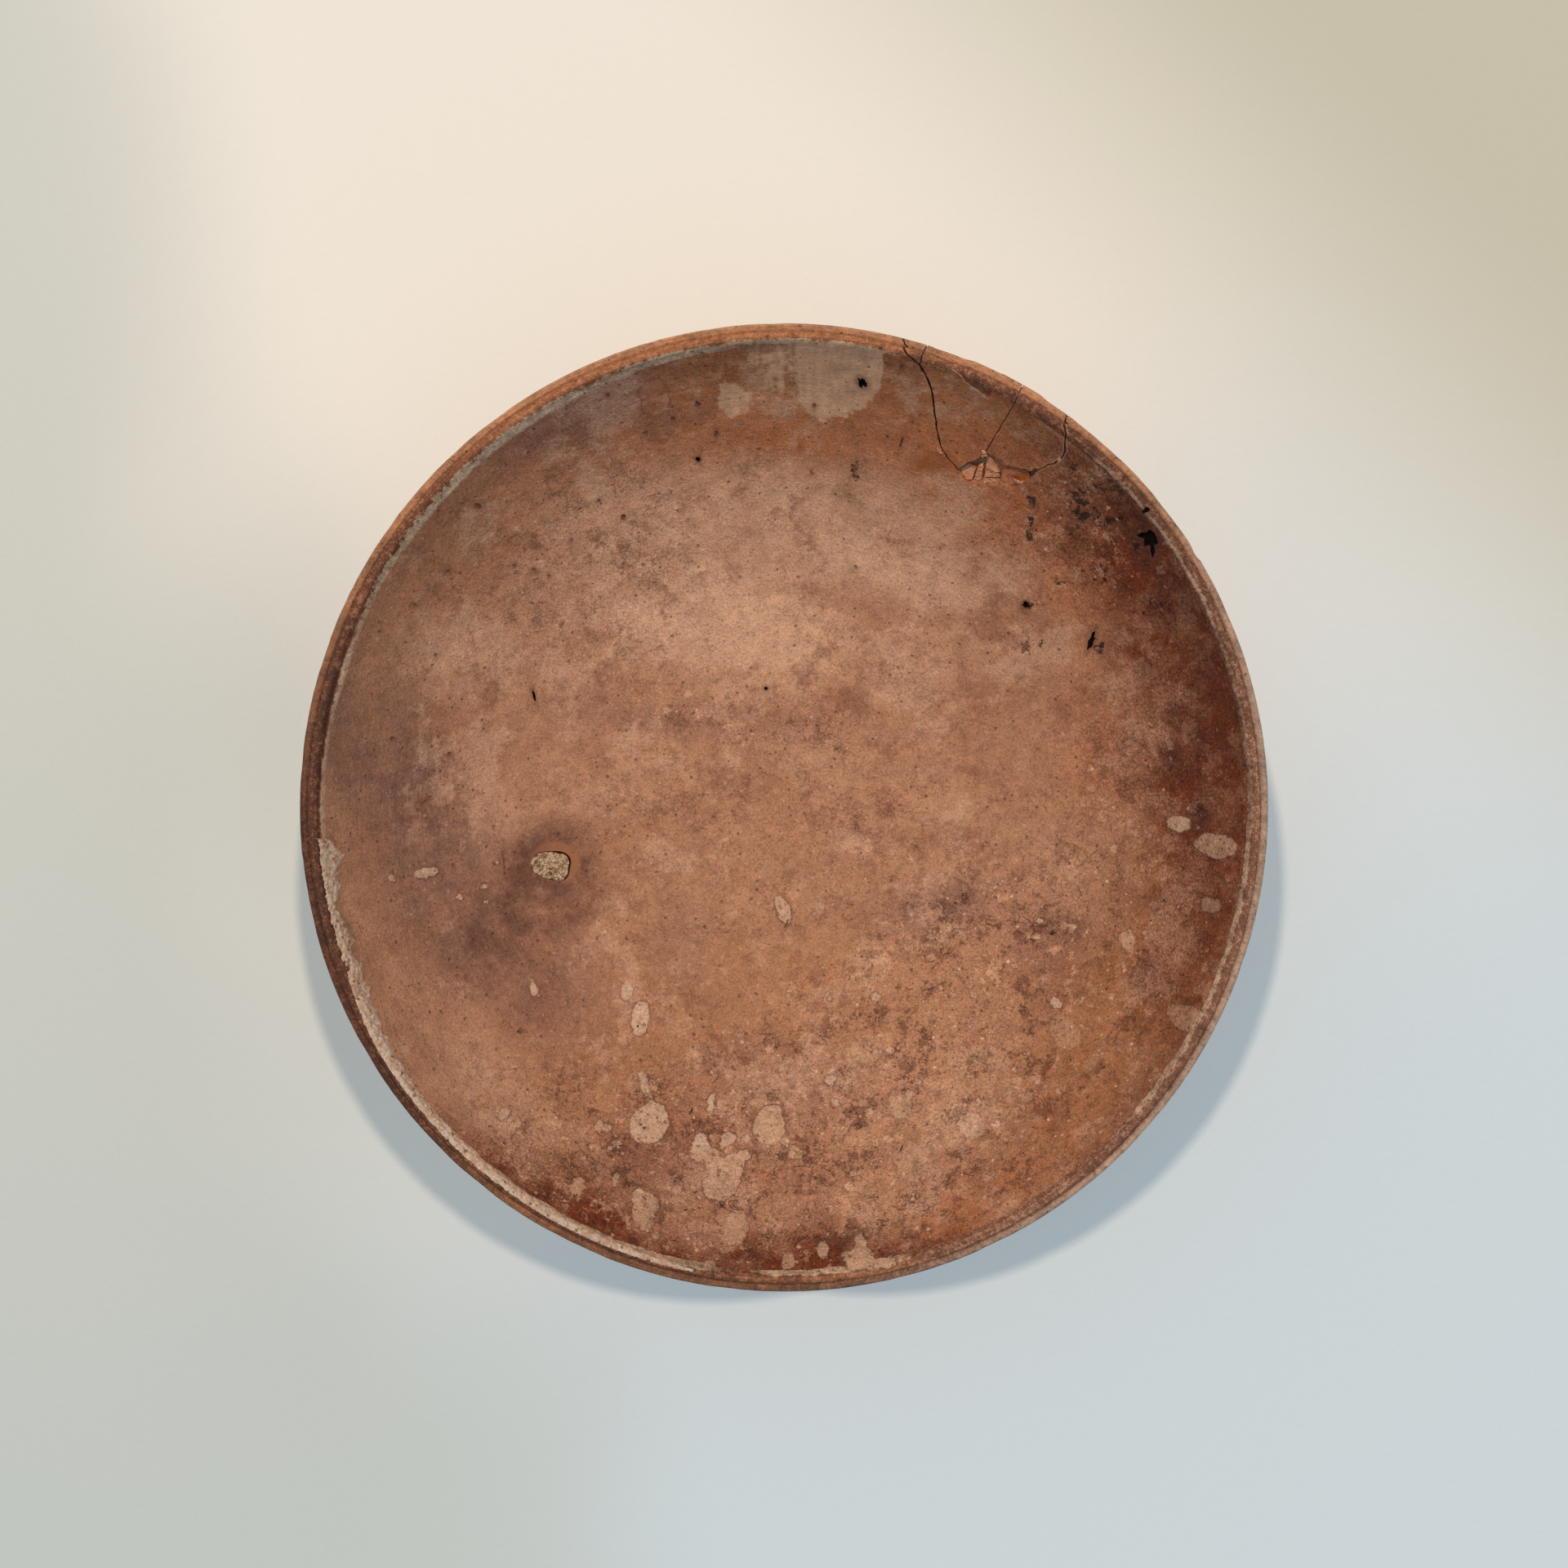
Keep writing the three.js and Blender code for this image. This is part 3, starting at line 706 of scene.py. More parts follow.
RIM_STAINS = tuple(RimStain(*row) for row in (
    (Tint.RED, -18, 50, 16, 26, 8, 0.9), (Tint.UMBER, 2, 44, 12, 12, 4, 0.2),
    (Tint.RED, 226, 292, 7, 8, 3.4, 0.6), (Tint.RED, 318, 346, 6, 9, 3.6, 0.5),
    # The orange stretches round the top of the rim are partly painted light on the top wall.
    (Tint.ORANGE, 44, 112, 14, 30, 16, 0.55), (Tint.ORANGE, 108, 150, 14, 30, 16, 0.25),
))

LIME_LINES = tuple(LimeLine(*row) for row in (
    (-4, 22, 5, 3.85, 0.3, 0.3), (22, 50, 4, 3.75, 0.32, 0.55), (77, 98, 3, 3.9, 0.45, 0.8),
    (96, 114, 5, 4.15, 0.62, 0.85), (111, 155, 5, 4.6, 0.9, 0.95), (150, 172, 5, 4.9, 0.65, 0.85),
    (170, 184, 4, 4.6, 0.42, 0.65), (204, 262, 3, 3.85, 0.6, 0.65), (266.5, 286, 2, 4, 0.45, 0.75),
    (316, 358, 4, 4, 0.42, 0.7),
))


@dataclass(frozen=True)
class WallFrame:
    """A flat frame laid on the inside of the wall.

    Its X runs along the rim, its Y up the wall and its Z to the bowl's middle.

    Attributes:
        section: The bowl's section.
        angle: Where it lies round the rim, degrees.
        inset: How far its origin lies in from the rim.
    """

    section: BowlSection
    angle: float
    inset: float

    def axes(self) -> tuple[Array, Array]:
        """Gives the frame's origin and its three axes as rows."""
        radius = self.section.rim_radius - self.inset
        height, slope = self.section.inside(np.array([radius]))
        turn = math.radians(self.angle)
        ca, sa, cs, ss = math.cos(turn), math.sin(turn), math.cos(slope[0]), math.sin(slope[0])
        up = np.array([cs * ca, cs * sa, ss])
        out = np.array([-ss * ca, -ss * sa, cs])
        origin = np.array([radius * ca, radius * sa, height[0]])
        return origin, np.array([np.cross(up, out), up, out])

    def to_space(self, local: Array) -> Array:
        """Turns points of the frame into points of the bowl."""
        origin, axes = self.axes()
        return origin + np.asarray(local, dtype=float) @ axes

    def to_frame(self, points: Array) -> Array:
        """Turns points of the bowl into points of the frame."""
        origin, axes = self.axes()
        return (points - origin) @ axes.T

    def flatten(self, corners: Sequence[Point]) -> Array:
        """Projects points of the inside onto the frame's plane.

        Args:
            corners: Points as angle in degrees and distance in from the rim.

        Returns:
            Rows of x, y in the frame.
        """
        polar = np.array(corners, dtype=float)
        radius = self.section.rim_radius - polar[:, 1]
        turn = np.radians(polar[:, 0])
        height, _ = self.section.inside(radius)
        space = np.stack([radius * np.cos(turn), radius * np.sin(turn), height], axis=1)
        return self.to_frame(space)[:, :2]


@dataclass(frozen=True)
class JointLine:
    """A line that the clay broke along, on the inside of the wall.

    Attributes:
        corners: Its course as angle in degrees and distance in from the rim.
        width_start: Width of the open joint at its first corner.
        width_end: Width at its last corner.
        seed: Picks its unevenness.
        jag: How far it strays from its course.
    """

    corners: tuple[Point, ...]
    width_start: float
    width_end: float
    seed: int
    jag: float = 0.1

    def course(self, frame_: WallFrame) -> tuple[Array, Array]:
        """Gives the line's fine course in a wall frame.

        Args:
            frame_: The frame to give it in.

        Returns:
            Its points and the joint's width at each.
        """
        flat = [tuple(row) for row in frame_.flatten(self.corners)]
        line = np.array(spaced(rounded(flat, 1), 0.3))
        run = run_along(line)
        stray = self.jag * (Ripple(self.seed, 2.8).at(run) + 0.3 * Ripple(self.seed + 1, 1.1).at(run))
        stray *= fade(0.0, 0.9, run) * fade(run[-1], run[-1] - 0.9, run)
        line = line + leftward(line) * stray[:, None]
        share = run / run[-1]
        width = self.width_start + (self.width_end - self.width_start) * share
        width = width * (1.0 + 0.16 * Ripple(self.seed + 2, 3.1).at(run))
        return line, width


def ribbon_block(frame_: WallFrame, line: Array, width: Array, low: float, high: float) -> MeshBuild:
    """Makes a solid ribbon along a line, square to a wall frame.

    Args:
        frame_: The frame that the line lies in.
        line: The line's points.
        width: The ribbon's width at each.
        low: Lower depth in the frame.
        high: Upper depth in the frame.

    Returns:
        A closed mesh.
    """
    first, last = line[0] - line[1], line[-1] - line[-2]
    first = first / np.linalg.norm(first) * width[0] * 0.5
    last = last / np.linalg.norm(last) * width[-1] * 0.5
    run = np.concatenate([[line[0] + first], line, [line[-1] + last]])
    wide = np.concatenate([width[:1], width, width[-1:]]) * 0.5
    side = leftward(run) * wide[:, None]
    left, right = run + side, run - side
    rows = [at_depth(*row) for row in ((left, high), (right, high), (right, low), (left, low))]
    build = MeshBuild()
    build.add_points(frame_.to_space(np.concatenate(rows)))
    count = len(run)
    for k in range(4):
        build.band(k * count, ((k + 1) % 4) * count, count, False)
    build.faces.append(tuple(k * count for k in (3, 2, 1, 0)))
    build.faces.append(tuple(k * count + count - 1 for k in (0, 1, 2, 3)))
    return build


def prism_block(frame_: WallFrame, outline: Array, low: float, high: float) -> MeshBuild:
    """Makes a solid with a given outline in a wall frame.

    Args:
        frame_: The frame that the outline lies in.
        outline: Its corners, anticlockwise or clockwise.
        low: Lower depth in the frame.
        high: Upper depth in the frame.

    Returns:
        A closed mesh.
    """
    following = np.roll(outline, -1, axis=0)
    area = np.sum(outline[:, 0] * following[:, 1] - following[:, 0] * outline[:, 1])
    ring = outline if area > 0 else outline[::-1]
    count = len(ring)
    build = MeshBuild()
    build.add_points(frame_.to_space(np.concatenate([at_depth(ring, low), at_depth(ring, high)])))
    build.faces.append(tuple(reversed(range(count))))
    build.faces.append(tuple(range(count, 2 * count)))
    build.band(0, count, count, flip=True)
    return build


def slab_block(
    frame_: WallFrame,
    reach: Point,
    step: float,
    low: Surface,
    high: Surface,
    centre: Point = (0.0, 0.0),
) -> MeshBuild:
    """Makes a slab between two uneven faces over a rectangle of a wall frame.

    Args:
        frame_: The frame that it lies in.
        reach: Half its length and breadth.
        step: Distance between its points.
        low: Depth of the lower face at x, y.
        high: Depth of the upper face at x, y.
        centre: Middle of the rectangle.

    Returns:
        A closed mesh.
    """
    nx = int(2.0 * reach[0] / step) + 1
    ny = int(2.0 * reach[1] / step) + 1
    gx, gy = np.meshgrid(
        np.linspace(centre[0] - reach[0], centre[0] + reach[0], nx),
        np.linspace(centre[1] - reach[1], centre[1] + reach[1], ny),
    )
    build = MeshBuild()
    for face in (low, high):
        depth = face(gx, gy) * np.ones_like(gx)
        build.add_points(frame_.to_space(np.stack([gx, gy, depth], axis=-1).reshape(-1, 3)))
    top = nx * ny
    for row in range(0, top - nx, nx):
        build.band(row, row + nx, nx, False)
        build.band(top + row, top + row + nx, nx, False, True)
    edge = list(range(nx))
    edge += [j * nx + nx - 1 for j in range(1, ny)]
    edge += [(ny - 1) * nx + i for i in range(nx - 2, -1, -1)]
    edge += [j * nx for j in range(ny - 2, 0, -1)]
    for a, b in zip(edge, edge[1:] + edge[:1]):
        build.faces.append((a, b, top + b, top + a))
    return build


def set_face_finish(piece: Piece, finish: Finish) -> None:
    """Gives all faces of a cutter one finish, for the cut that it leaves.

    Args:
        piece: The cutter.
        finish: The finish of its faces.
    """
    mesh = piece.data
    while len(mesh.materials) < len(Finish):
        mesh.materials.append(None)
    mesh.polygons.foreach_set("material_index", [finish.value] * len(mesh.polygons))


def combine(piece: Piece, other: Piece, how: str) -> None:
    """Cuts, joins or crosses a piece with another solid, which is used up.

    Args:
        piece: The piece that is changed.
        other: The solid that is used on it.
        how: DIFFERENCE, UNION or INTERSECT.
    """
    change = piece.modifiers.new("combine", "BOOLEAN")
    change.operation = how
    change.solver = "MANIFOLD"
    change.object = other
    bpy.context.view_layer.update()
    graph = bpy.context.evaluated_depsgraph_get()
    mesh = bpy.data.meshes.new_from_object(piece.evaluated_get(graph))
    piece.modifiers.clear()
    before = piece.data
    piece.data = mesh
    bpy.data.meshes.remove(before)
    bpy.data.objects.remove(other)


def merge_all(pieces: Sequence[Piece]) -> Piece:
    """Joins overlapping solids into the first of them, and gives it back."""
    whole = pieces[0]
    for piece in pieces[1:]:
        combine(whole, piece, "UNION")
    return whole


def copy_of(piece: Piece) -> Piece:
    """Makes a second object with its own copy of the mesh."""
    twin = bpy.data.objects.new(piece.name + "_copy", piece.data.copy())
    bpy.context.scene.collection.objects.link(twin)
    return twin


@dataclass(frozen=True)
class Relief:
    """The relief of the turned clay, from throwing rings to splashes.

    Attributes:
        scar_frame: Frame that the flake scar's edge is drawn in.
        scar_edge: The edge as x, y in that frame.
        scar_depth: How deep the scar is.
        sherd_from, sherd_to, sherd_proud: The stretch of rim that stands out, and how far.
        inner_rings, outer_rings: Height and spacing of the throwing rings.
    """

    section: BowlSection
    scar_frame: WallFrame
    scar_edge: tuple[Point, ...]
    sherd_from: float = 57.5
    sherd_to: float = 67.5
    sherd_proud: float = 0.3
    scar_depth: float = 0.4
    inner_rings: tuple[Point, Point] = ((0.045, 6.3), (0.02, 2.6))
    outer_rings: tuple[Point, Point] = ((0.13, 7.2), (0.05, 2.9))

    @staticmethod
    def rings(along: Array, drift: Array, rows: tuple[Point, Point], strays: Point) -> Array:
        """Sums throwing rings of two spacings, each shifted by its share of a drift."""
        parts = zip(rows, strays)
        return sum(high * np.sin(FULL_TURN * (along + stray * drift) / gap) for (high, gap), stray in parts)

    def scar(self, x: Array, y: Array, z: Array) -> Array:
        """Signed distance past the flake scar's edge towards the rim.

        Args:
            x, y, z: Points of the bowl.

        Returns:
            More than 0 inside the scar, less outside it.
        """
        local = self.scar_frame.to_frame(np.stack([x, y, z], axis=-1))
        edge = np.array(self.scar_edge)
        height = np.interp(local[..., 0], edge[:, 0], edge[:, 1], left=90.0, right=90.0)
        within = fade(edge[0, 0] - 0.2, edge[0, 0] + 0.4, local[..., 0])
        within *= fade(edge[-1, 0] + 0.2, edge[-1, 0] - 2.5, local[..., 0])
        reach = local[..., 1] - height + 0.12 * Ripple(301, 1.3).at(x, y)
        return np.where(within > 0.0, reach * 0.8, -3.0) * np.where(reach > 0, within, 1.0)

    def height(self, x: Array, y: Array, z: Array, inside: Array, lip: Array) -> Array:
        """Gives how far the surface stands out of the plain section.

        Args:
            x, y, z: Points of the plain section.
            inside: 1 on the inside of the bowl, 0 elsewhere.
            lip: 1 on the lip and the bead, 0 elsewhere.

        Returns:
            The relief, mm.
        """
        radius = np.hypot(x, y)
        angle = np.degrees(np.arctan2(y, x))
        drift = Ripple(21, 70.0).at(x, y)
        broad = 0.10 * Ripple(22, 44.0).at(x, y) + 0.05 * Ripple(23, 17.0).at(x, y)
        wheel = self.rings(radius, drift, self.inner_rings, (1.4, 0.8))
        rough = 0.022 * Ripple(24, 5.0).at(x, y, z) + 0.014 * Ripple(25, 2.3).at(x, y, z)
        within = broad + wheel + rough + self.splashes(x, y)
        seat = NODULE_SEAT.share(x, y)
        within -= 0.22 * fade(0.35, 1.0, seat) * fade(1.5, 1.0, seat)
        wear = fade(0.1, 1.4, Ripple(26, 14.0).at(x, y)) * 0.10
        wear += 0.012 * (1.0 + Ripple(27, 3.0).at(x, y, z))
        worn = np.where(radius > self.section.rim_radius - 2.4, -wear, -0.5 * wear)
        worn -= 0.28 * turned_share(angle, 31.0, 32.4, 0.5)
        worn += (self.sherd_proud + wear) * turned_share(angle, self.sherd_from, self.sherd_to, 0.8)
        rings = self.rings(z, drift, self.outer_rings, (0.9, 0.5))
        rings += 0.10 * Ripple(28, 36.0).at(x, y, z) + 1.6 * rough - 0.16
        rings *= fade(0.3, 2.2, z)
        result = inside * within + lip * worn + (1.0 - inside) * (1.0 - lip) * rings
        scar = fade(-0.12, 0.2, self.scar(x, y, z))
        return result - self.scar_depth * scar * np.clip(inside + lip * 0.3, 0.0, 1.0)

    def splashes(self, x: Array, y: Array) -> Array:
        """Gives the height of the splashes on the inside.

        Args:
            x, y: Plan positions.

        Returns:
            The height at each position.
        """
        height = np.zeros_like(x)
        stray = 0.35 * Ripple(29, 2.4).at(x, y)
        for splash in SPLASHES + RIM_DRIPS:
            reach = splash.inward(x, y) + 0.3 * stray
            crown = 1.15 + 0.22 * Ripple(30, 1.6).at(x, y)
            height = np.maximum(height, splash.rise * crown * fade(-0.14, 0.2, reach))
        return height


@dataclass
class ClayTurning:
    """Turns solids from the bowl's section, with relief.

    Attributes:
        around: Points in a ring near the rim. It halves towards the axis.
        full_from, half_from, quarter_from: Radii down to which a ring has its full points,
            half of them and a quarter of them.
        foot_from: The same as half_from, on the underside.
        headroom: How far the relief may stand over the lip's band.
    """

    section: BowlSection
    relief: Relief
    around: int = 600
    full_from: float = 48.0
    half_from: float = 24.0
    quarter_from: float = 12.0
    foot_from: float = 32.0
    headroom: float = 0.28

    def profile(
        self, inside_from: float, inside_step: float, lip_passes: int,
        outside_step: float, outside_to: float,
    ) -> Array:
        """Samples the section from the inside over the lip to the outside.

        Args:
            inside_from: Radius where it starts, on the inside.
            inside_step: Spacing on the inside.
            lip_passes: How often the lip's corners are rounded.
            outside_step: Spacing on the outside.
            outside_to: Radius where it ends, or 0 to take in the whole foot.

        Returns:
            Rows of r, z.
        """
        section = self.section
        fine = np.linspace(inside_from, section.lip_inner, 1200)
        wall = list(zip(fine, section.inside(fine)[0]))
        wall[-1] = (section.lip_inner, section.rim_height - section.lip_crown)
        near_rim = section.lip_inner - 3.4
        line = spaced([p for p in wall if p[0] <= near_rim], inside_step)[:-1]
        line += spaced([p for p in wall if p[0] > near_rim], min(inside_step, 0.42))
        line += rounded([line[-1]] + section.lip_points(), lip_passes)[1:-1]
        outside = [p for p in section.outside_arc(400) if p[0] >= outside_to]
        line += spaced(outside, outside_step)
        if outside_to <= 0.0:
            line += rounded([line[-1]] + section.foot_points(), 2)[1:]
            line += spaced([line[-1], (0.0, section.foot_recess)], 1.4)[1:]
        return np.array(line)

    def raised(self, profile: Array, angles: Array, lift: float = 0.0) -> Array:
        """Turns a profile and lays the relief on it.

        Args:
            profile: Rows of r, z.
            angles: Angles in radians.
            lift: How far the whole surface stands out of the section.

        Returns:
            An array of points, one row for each ring.
        """
        normal = leftward(profile)
        r, z = profile[:, 0][:, None], profile[:, 1][:, None]
        nr, nz = normal[:, 0][:, None], normal[:, 1][:, None]
        ca, sa = np.cos(angles)[None, :], np.sin(angles)[None, :]
        x, y, height = r * ca, r * sa, z + 0.0 * ca
        inner = (nz > 0.2) & (r <= self.section.lip_inner + 0.05)
        fade_in = fade(self.section.lip_inner + 0.1, self.section.lip_inner - 1.0, r)
        inside = np.where(inner, fade_in, 0.0) + 0.0 * ca
        low = self.section.neck_height
        lip = np.where(inner, 1.0 - fade_in, fade(low - 1.5, low + 0.5, z)) + 0.0 * ca
        relief = self.relief.height(x, y, height, inside, lip) + lift
        relief = np.where(r < 0.01, np.mean(relief, axis=1, keepdims=True), relief)
        height = np.minimum(height + nz * relief, self.section.rim_height + self.headroom)
        return np.stack([x + nr * relief * ca, y + nr * relief * sa, height], axis=-1)

    def whole(self, name: str) -> Piece:
        """Turns the whole bowl, with fewer points towards the axis.

        Args:
            name: Name of the object.

        Returns:
            The bowl as a closed mesh.
        """
        profile = self.profile(
            inside_from=0.0, inside_step=1.07, lip_passes=1, outside_step=2.9, outside_to=0.0
        )
        count = len(profile)
        foot = int(np.argmax(profile[:, 1] < self.section.foot_height + 0.2))
        highest = int(np.argmax(profile[:, 1]))
        past_neck = highest + int(np.argmax(profile[highest:, 1] < self.section.neck_height - 1.0))
        build = MeshBuild()
        rings: list[tuple[int, int]] = []
        for i in range(1, count - 1):
            radius = profile[i, 0]
            wanted = self.around if radius > self.full_from and i < past_neck else self.around // 2
            if radius < self.half_from or (i > foot and radius < self.foot_from):
                wanted = self.around // 4
            if radius < self.quarter_from:
                wanted = self.around // 8
            rings.append((wanted, i))
        by_count: dict[int, Array] = {}
        for wanted in sorted({w for w, _ in rings}):
            angles = np.linspace(0.0, FULL_TURN, wanted, endpoint=False)
            by_count[wanted] = self.raised(profile, angles)
        starts = [build.add_points(by_count[w][i]) for w, i in rings]
        top = build.add_points(by_count[self.around // 8][0][:1] * [0.0, 0.0, 1.0])
        bottom = build.add_points(np.array([[0.0, 0.0, self.section.foot_recess]]))
        first, last = rings[0][0], rings[-1][0]
        for j in range(first):
            build.faces.append((top, starts[0] + j, starts[0] + (j + 1) % first))
        for k in range(len(rings) - 1):
            self.join_rings(build, starts[k], rings[k][0], starts[k + 1], rings[k + 1][0])
        for j in range(last):
            build.faces.append((starts[-1] + j, bottom, starts[-1] + (j + 1) % last))
        return build.to_object(name)

    @staticmethod
    def join_rings(build: MeshBuild, a: int, a_count: int, b: int, b_count: int) -> None:
        """Fills the band between two closed rings.

        Args:
            build: The mesh under construction.
            a: First point of the earlier ring.
            a_count: Its number of points.
            b: First point of the later ring.
            b_count: Its number of points: the same, half or double.
        """
        if a_count == b_count:
            build.band(a, b, a_count)
        elif b_count == 2 * a_count:
            for j in range(a_count):
                k = (j + 1) % a_count
                m = b + 2 * j
                n = b + (2 * j + 2) % b_count
                build.faces.append((a + j, m, m + 1))
                build.faces.append((a + j, m + 1, a + k))
                build.faces.append((a + k, m + 1, n))
        else:
            for j in range(b_count):
                k = (j + 1) % b_count
                m = a + 2 * j
                n = a + (2 * j + 2) % a_count
                build.faces.append((b + j, m + 1, m))
                build.faces.append((b + j, b + k, m + 1))
                build.faces.append((b + k, n, m + 1))

    def wedge(
        self, name: str, angle_from: float, angle_to: float, inner: float,
        step: float, lift: float = 0.0,
    ) -> Piece:
        """Turns a fine wedge of the wall and the lip.

        Args:
            name: Name of the object.
            angle_from: Where it starts round the rim, degrees.
            angle_to: Where it ends.
            inner: Radius that it reaches in to.
            step: Distance between its points.
            lift: How far its surface stands out of the section.

        Returns:
            The wedge as a closed mesh.
        """
        profile = self.profile(inner, step, 2, step * 1.6, inner - 4.0)
        length = math.radians(angle_to - angle_from) * self.section.rim_radius
        steps = int(length / step)
        angles = np.radians(np.linspace(angle_from, angle_to, steps + 1))
        points = self.raised(profile, angles, lift)
        rings, across = points.shape[:2]
        build = MeshBuild()
        build.add_points(points.reshape(-1, 3))
        for i in range(rings):
            build.band(i * across, ((i + 1) % rings) * across, across, False)
        build.faces.append(tuple(i * across for i in range(rings - 1, -1, -1)))
        build.faces.append(tuple(i * across + across - 1 for i in range(rings)))
        return build.to_object(name)


def smooth_but_sharp(piece: Piece, degrees: float) -> None:
    """Shades a piece smooth, apart from its sharp edges.

    Args:
        piece: The piece.
        degrees: Edges that turn by more stay sharp.
    """
    mesh = piece.data
    mesh.polygons.foreach_set("use_smooth", [True] * len(mesh.polygons))
    mesh.set_sharp_from_angle(angle=math.radians(degrees))


# Stretches of the lip: the mark, its start and end in degrees, its softness and its strength.
LIP_STRETCHES = (
    ("rim_dark", 160.0, 242.0, 26.0, 1.0),
    ("rim_dark", 226.0, 296.0, 20.0, 0.75),
    ("rim_grey", 274.0, 32.0, 24.0, 1.0),
    ("band_dark", 152.0, 222.0, 18.0, 0.9),
    ("band_dark", 222.0, 276.0, 18.0, 0.7),
    ("band_dark", 12.0, 72.0, 12.0, 0.45),
    ("rim_warm", 74.0, 132.0, 10.0, 1.0),
    ("rim_warm", 262.0, 286.0, 8.0, 1.0),
)


@dataclass
class SurfaceMap:
    """Works out, for each point of the clay, which marks it carries.

    The marks are kept as attributes of the mesh, for the clay's material to read.

    Attributes:
        relief: The relief, for the flake scar's edge.
        joint_frame: Wall frame that the chipped joint at the right is drawn in.
        right_crack: Points of that joint in the frame.
        splash_reach: How far from a splash its mark tells the distance.
        crack_zone: Least x, y and z of the points that lie near that joint.
    """

    section: BowlSection
    relief: Relief
    joint_frame: WallFrame
    right_crack: Array
    splash_reach: float = 3.0
    crack_zone: tuple[float, float, float] = (42.0, 62.0, 26.0)

    def marks(self, x: Array, y: Array, z: Array) -> dict[str, Array]:
        """Works out all the marks at some points.

        Args:
            x, y, z: Points of the surface, mm.

        Returns:
            A value for each point, by the name of the mark.
        """
        radius = np.hypot(x, y)
        angle = np.degrees(np.arctan2(y, x))
        height, _ = self.section.inside(np.minimum(radius, self.section.lip_inner))
        inner = fade(-3.4, -2.2, z - height) * fade(98.9, 98.2, radius)
        found = {"inside": inner}
        for tint in Tint:
            clear = np.ones_like(x)
            for stain in STAINS.get(tint, ()):
                clear = clear * (1.0 - stain.strength * fade(1.25, 0.35, stain.share(x, y)))
            for band in RIM_STAINS:
                if band.tint is tint:
                    share = turned_share(angle, band.start, band.end, band.soft)
                    inset = self.section.rim_radius - radius
                    clear = clear * (1.0 - band.strength * share * fade(band.reach, band.full, inset))
            found[tint.value] = (1.0 - clear) * inner
        found.update(self.splash_marks(x, y))
        found.update(self.lip_marks(radius, angle, z))
        found["wash"] = self.wash(x, y)
        found["soot"] = self.soot(x, y) * inner
        way = (x - NODULE_RING.x) + 0.8 * (y - NODULE_RING.y)
        found["ring"] = fade(1.16, 1.0, NODULE_RING.share(x, y)) * fade(-7.0, 3.0, way) * inner
        edge = 0.3 * Ripple(47, 2.0).at(x, y) - SCAR_RING.inward(x, y)
        found["scar_ring"] = np.clip(edge, -2.0, 2.0)
        found["amber"] = fade(1.2, 0.2, AMBER_STAIN.share(x, y)) * inner
        found["rust"] = fade(1.2, 0.3, RUST_STAIN.share(x, y)) * inner
        found["scar"] = np.where(radius < self.section.lip_inner + 0.6, self.relief.scar(x, y, z), -3.0)
        found["chipped"] = self.near_crack(x, y, z)
        return found

    def splash_marks(self, x: Array, y: Array) -> dict[str, Array]:
        """Works out how far each point lies inside a splash, and what it is like.

        Args:
            x, y: Plan positions.

        Returns:
            The marks, by name.
        """
        nearest = np.full_like(x, -self.splash_reach)
        paleness = np.zeros_like(x)
        cover = np.full_like(x, 0.9)
        outside = fade(self.section.lip_inner - 0.3, self.section.lip_inner, np.hypot(x, y))
        for splash in SPLASHES + RIM_DRIPS:
            reach = splash.inward(x, y)
            reach = reach if splash in RIM_DRIPS else reach - 4.0 * outside
            paleness = np.where(reach > nearest, splash.paleness, paleness)
            cover = np.where(reach > nearest, splash.cover, cover)
            nearest = np.maximum(nearest, reach)
        nearest = np.clip(nearest, -self.splash_reach, 1.5)
        return {"splash": nearest, "paleness": paleness, "cover": cover}

    def lip_marks(self, radius: Array, angle: Array, z: Array) -> dict[str, Array]:
        """Works out the bands of the lip and how they change round the rim.

        Args:
            radius: Distances from the axis.
            angle: Angles round the rim, degrees.
            z: Heights.

        Returns:
            The marks, by name.
        """
        rim = self.section.rim_radius
        groove = rim - self.section.bead_width - self.section.groove_width / 2.0
        high = fade(self.section.rim_height - 3.2, self.section.rim_height - 2.2, z)
        tent = np.full_like(radius, -1.0)
        cover = np.zeros_like(radius)
        wander = 0.05 * Ripple(45, 9.0).at(angle * 1.7)
        for line in LIME_LINES:
            share = turned_share(angle, line.start, line.end, line.soft)
            out = radius - (rim - line.inset - line.half) + wander
            near = np.minimum(out / 0.14, 2.0 - out / line.half)
            cover = np.where(share * near > cover * tent, share * line.strength, cover)
            tent = np.where(share > 0.02, np.maximum(tent, near - 1.2 * (1.0 - share)), tent)
        lip = fade(self.section.lip_inner - 0.5, self.section.lip_inner - 0.1, radius)
        found = {
            "band": lip * fade(groove + 0.5, groove + 0.3, radius) * high,
            "bead": fade(groove - 0.1, groove + 0.2, radius),
            "groove": np.exp(-(((radius - groove) / 0.32) ** 2)) * high,
            "lime": np.clip(tent, -1.0, 1.0) * high,
            "lime_cover": cover * high,
        }
        for mark, start, end, soft, strength in LIP_STRETCHES:
            share = strength * turned_share(angle, start, end, soft)
            found[mark] = np.maximum(found.get(mark, 0.0), share)
        return found

    def wash(self, x: Array, y: Array) -> Array:
        """Works out the pale grey wash under the lip at the top.

        Args:
            x, y: Plan positions.

        Returns:
            1 in its body, less in its streaks, 0 outside it.
        """
        stray = 0.5 * Ripple(41, 2.6).at(x, y)
        body = np.zeros_like(x)
        for lobe in WASH_LOBES:
            soft = 0.3 if lobe.paleness > 0.8 else 2.4
            part = lobe.paleness * fade(-soft, soft, lobe.inward(x, y) + stray * (0.2 + 0.3 * soft))
            body = np.maximum(body, part)
        radius = np.hypot(x, y)
        return body * fade(self.section.lip_inner + 0.7, self.section.lip_inner - 0.4, radius)

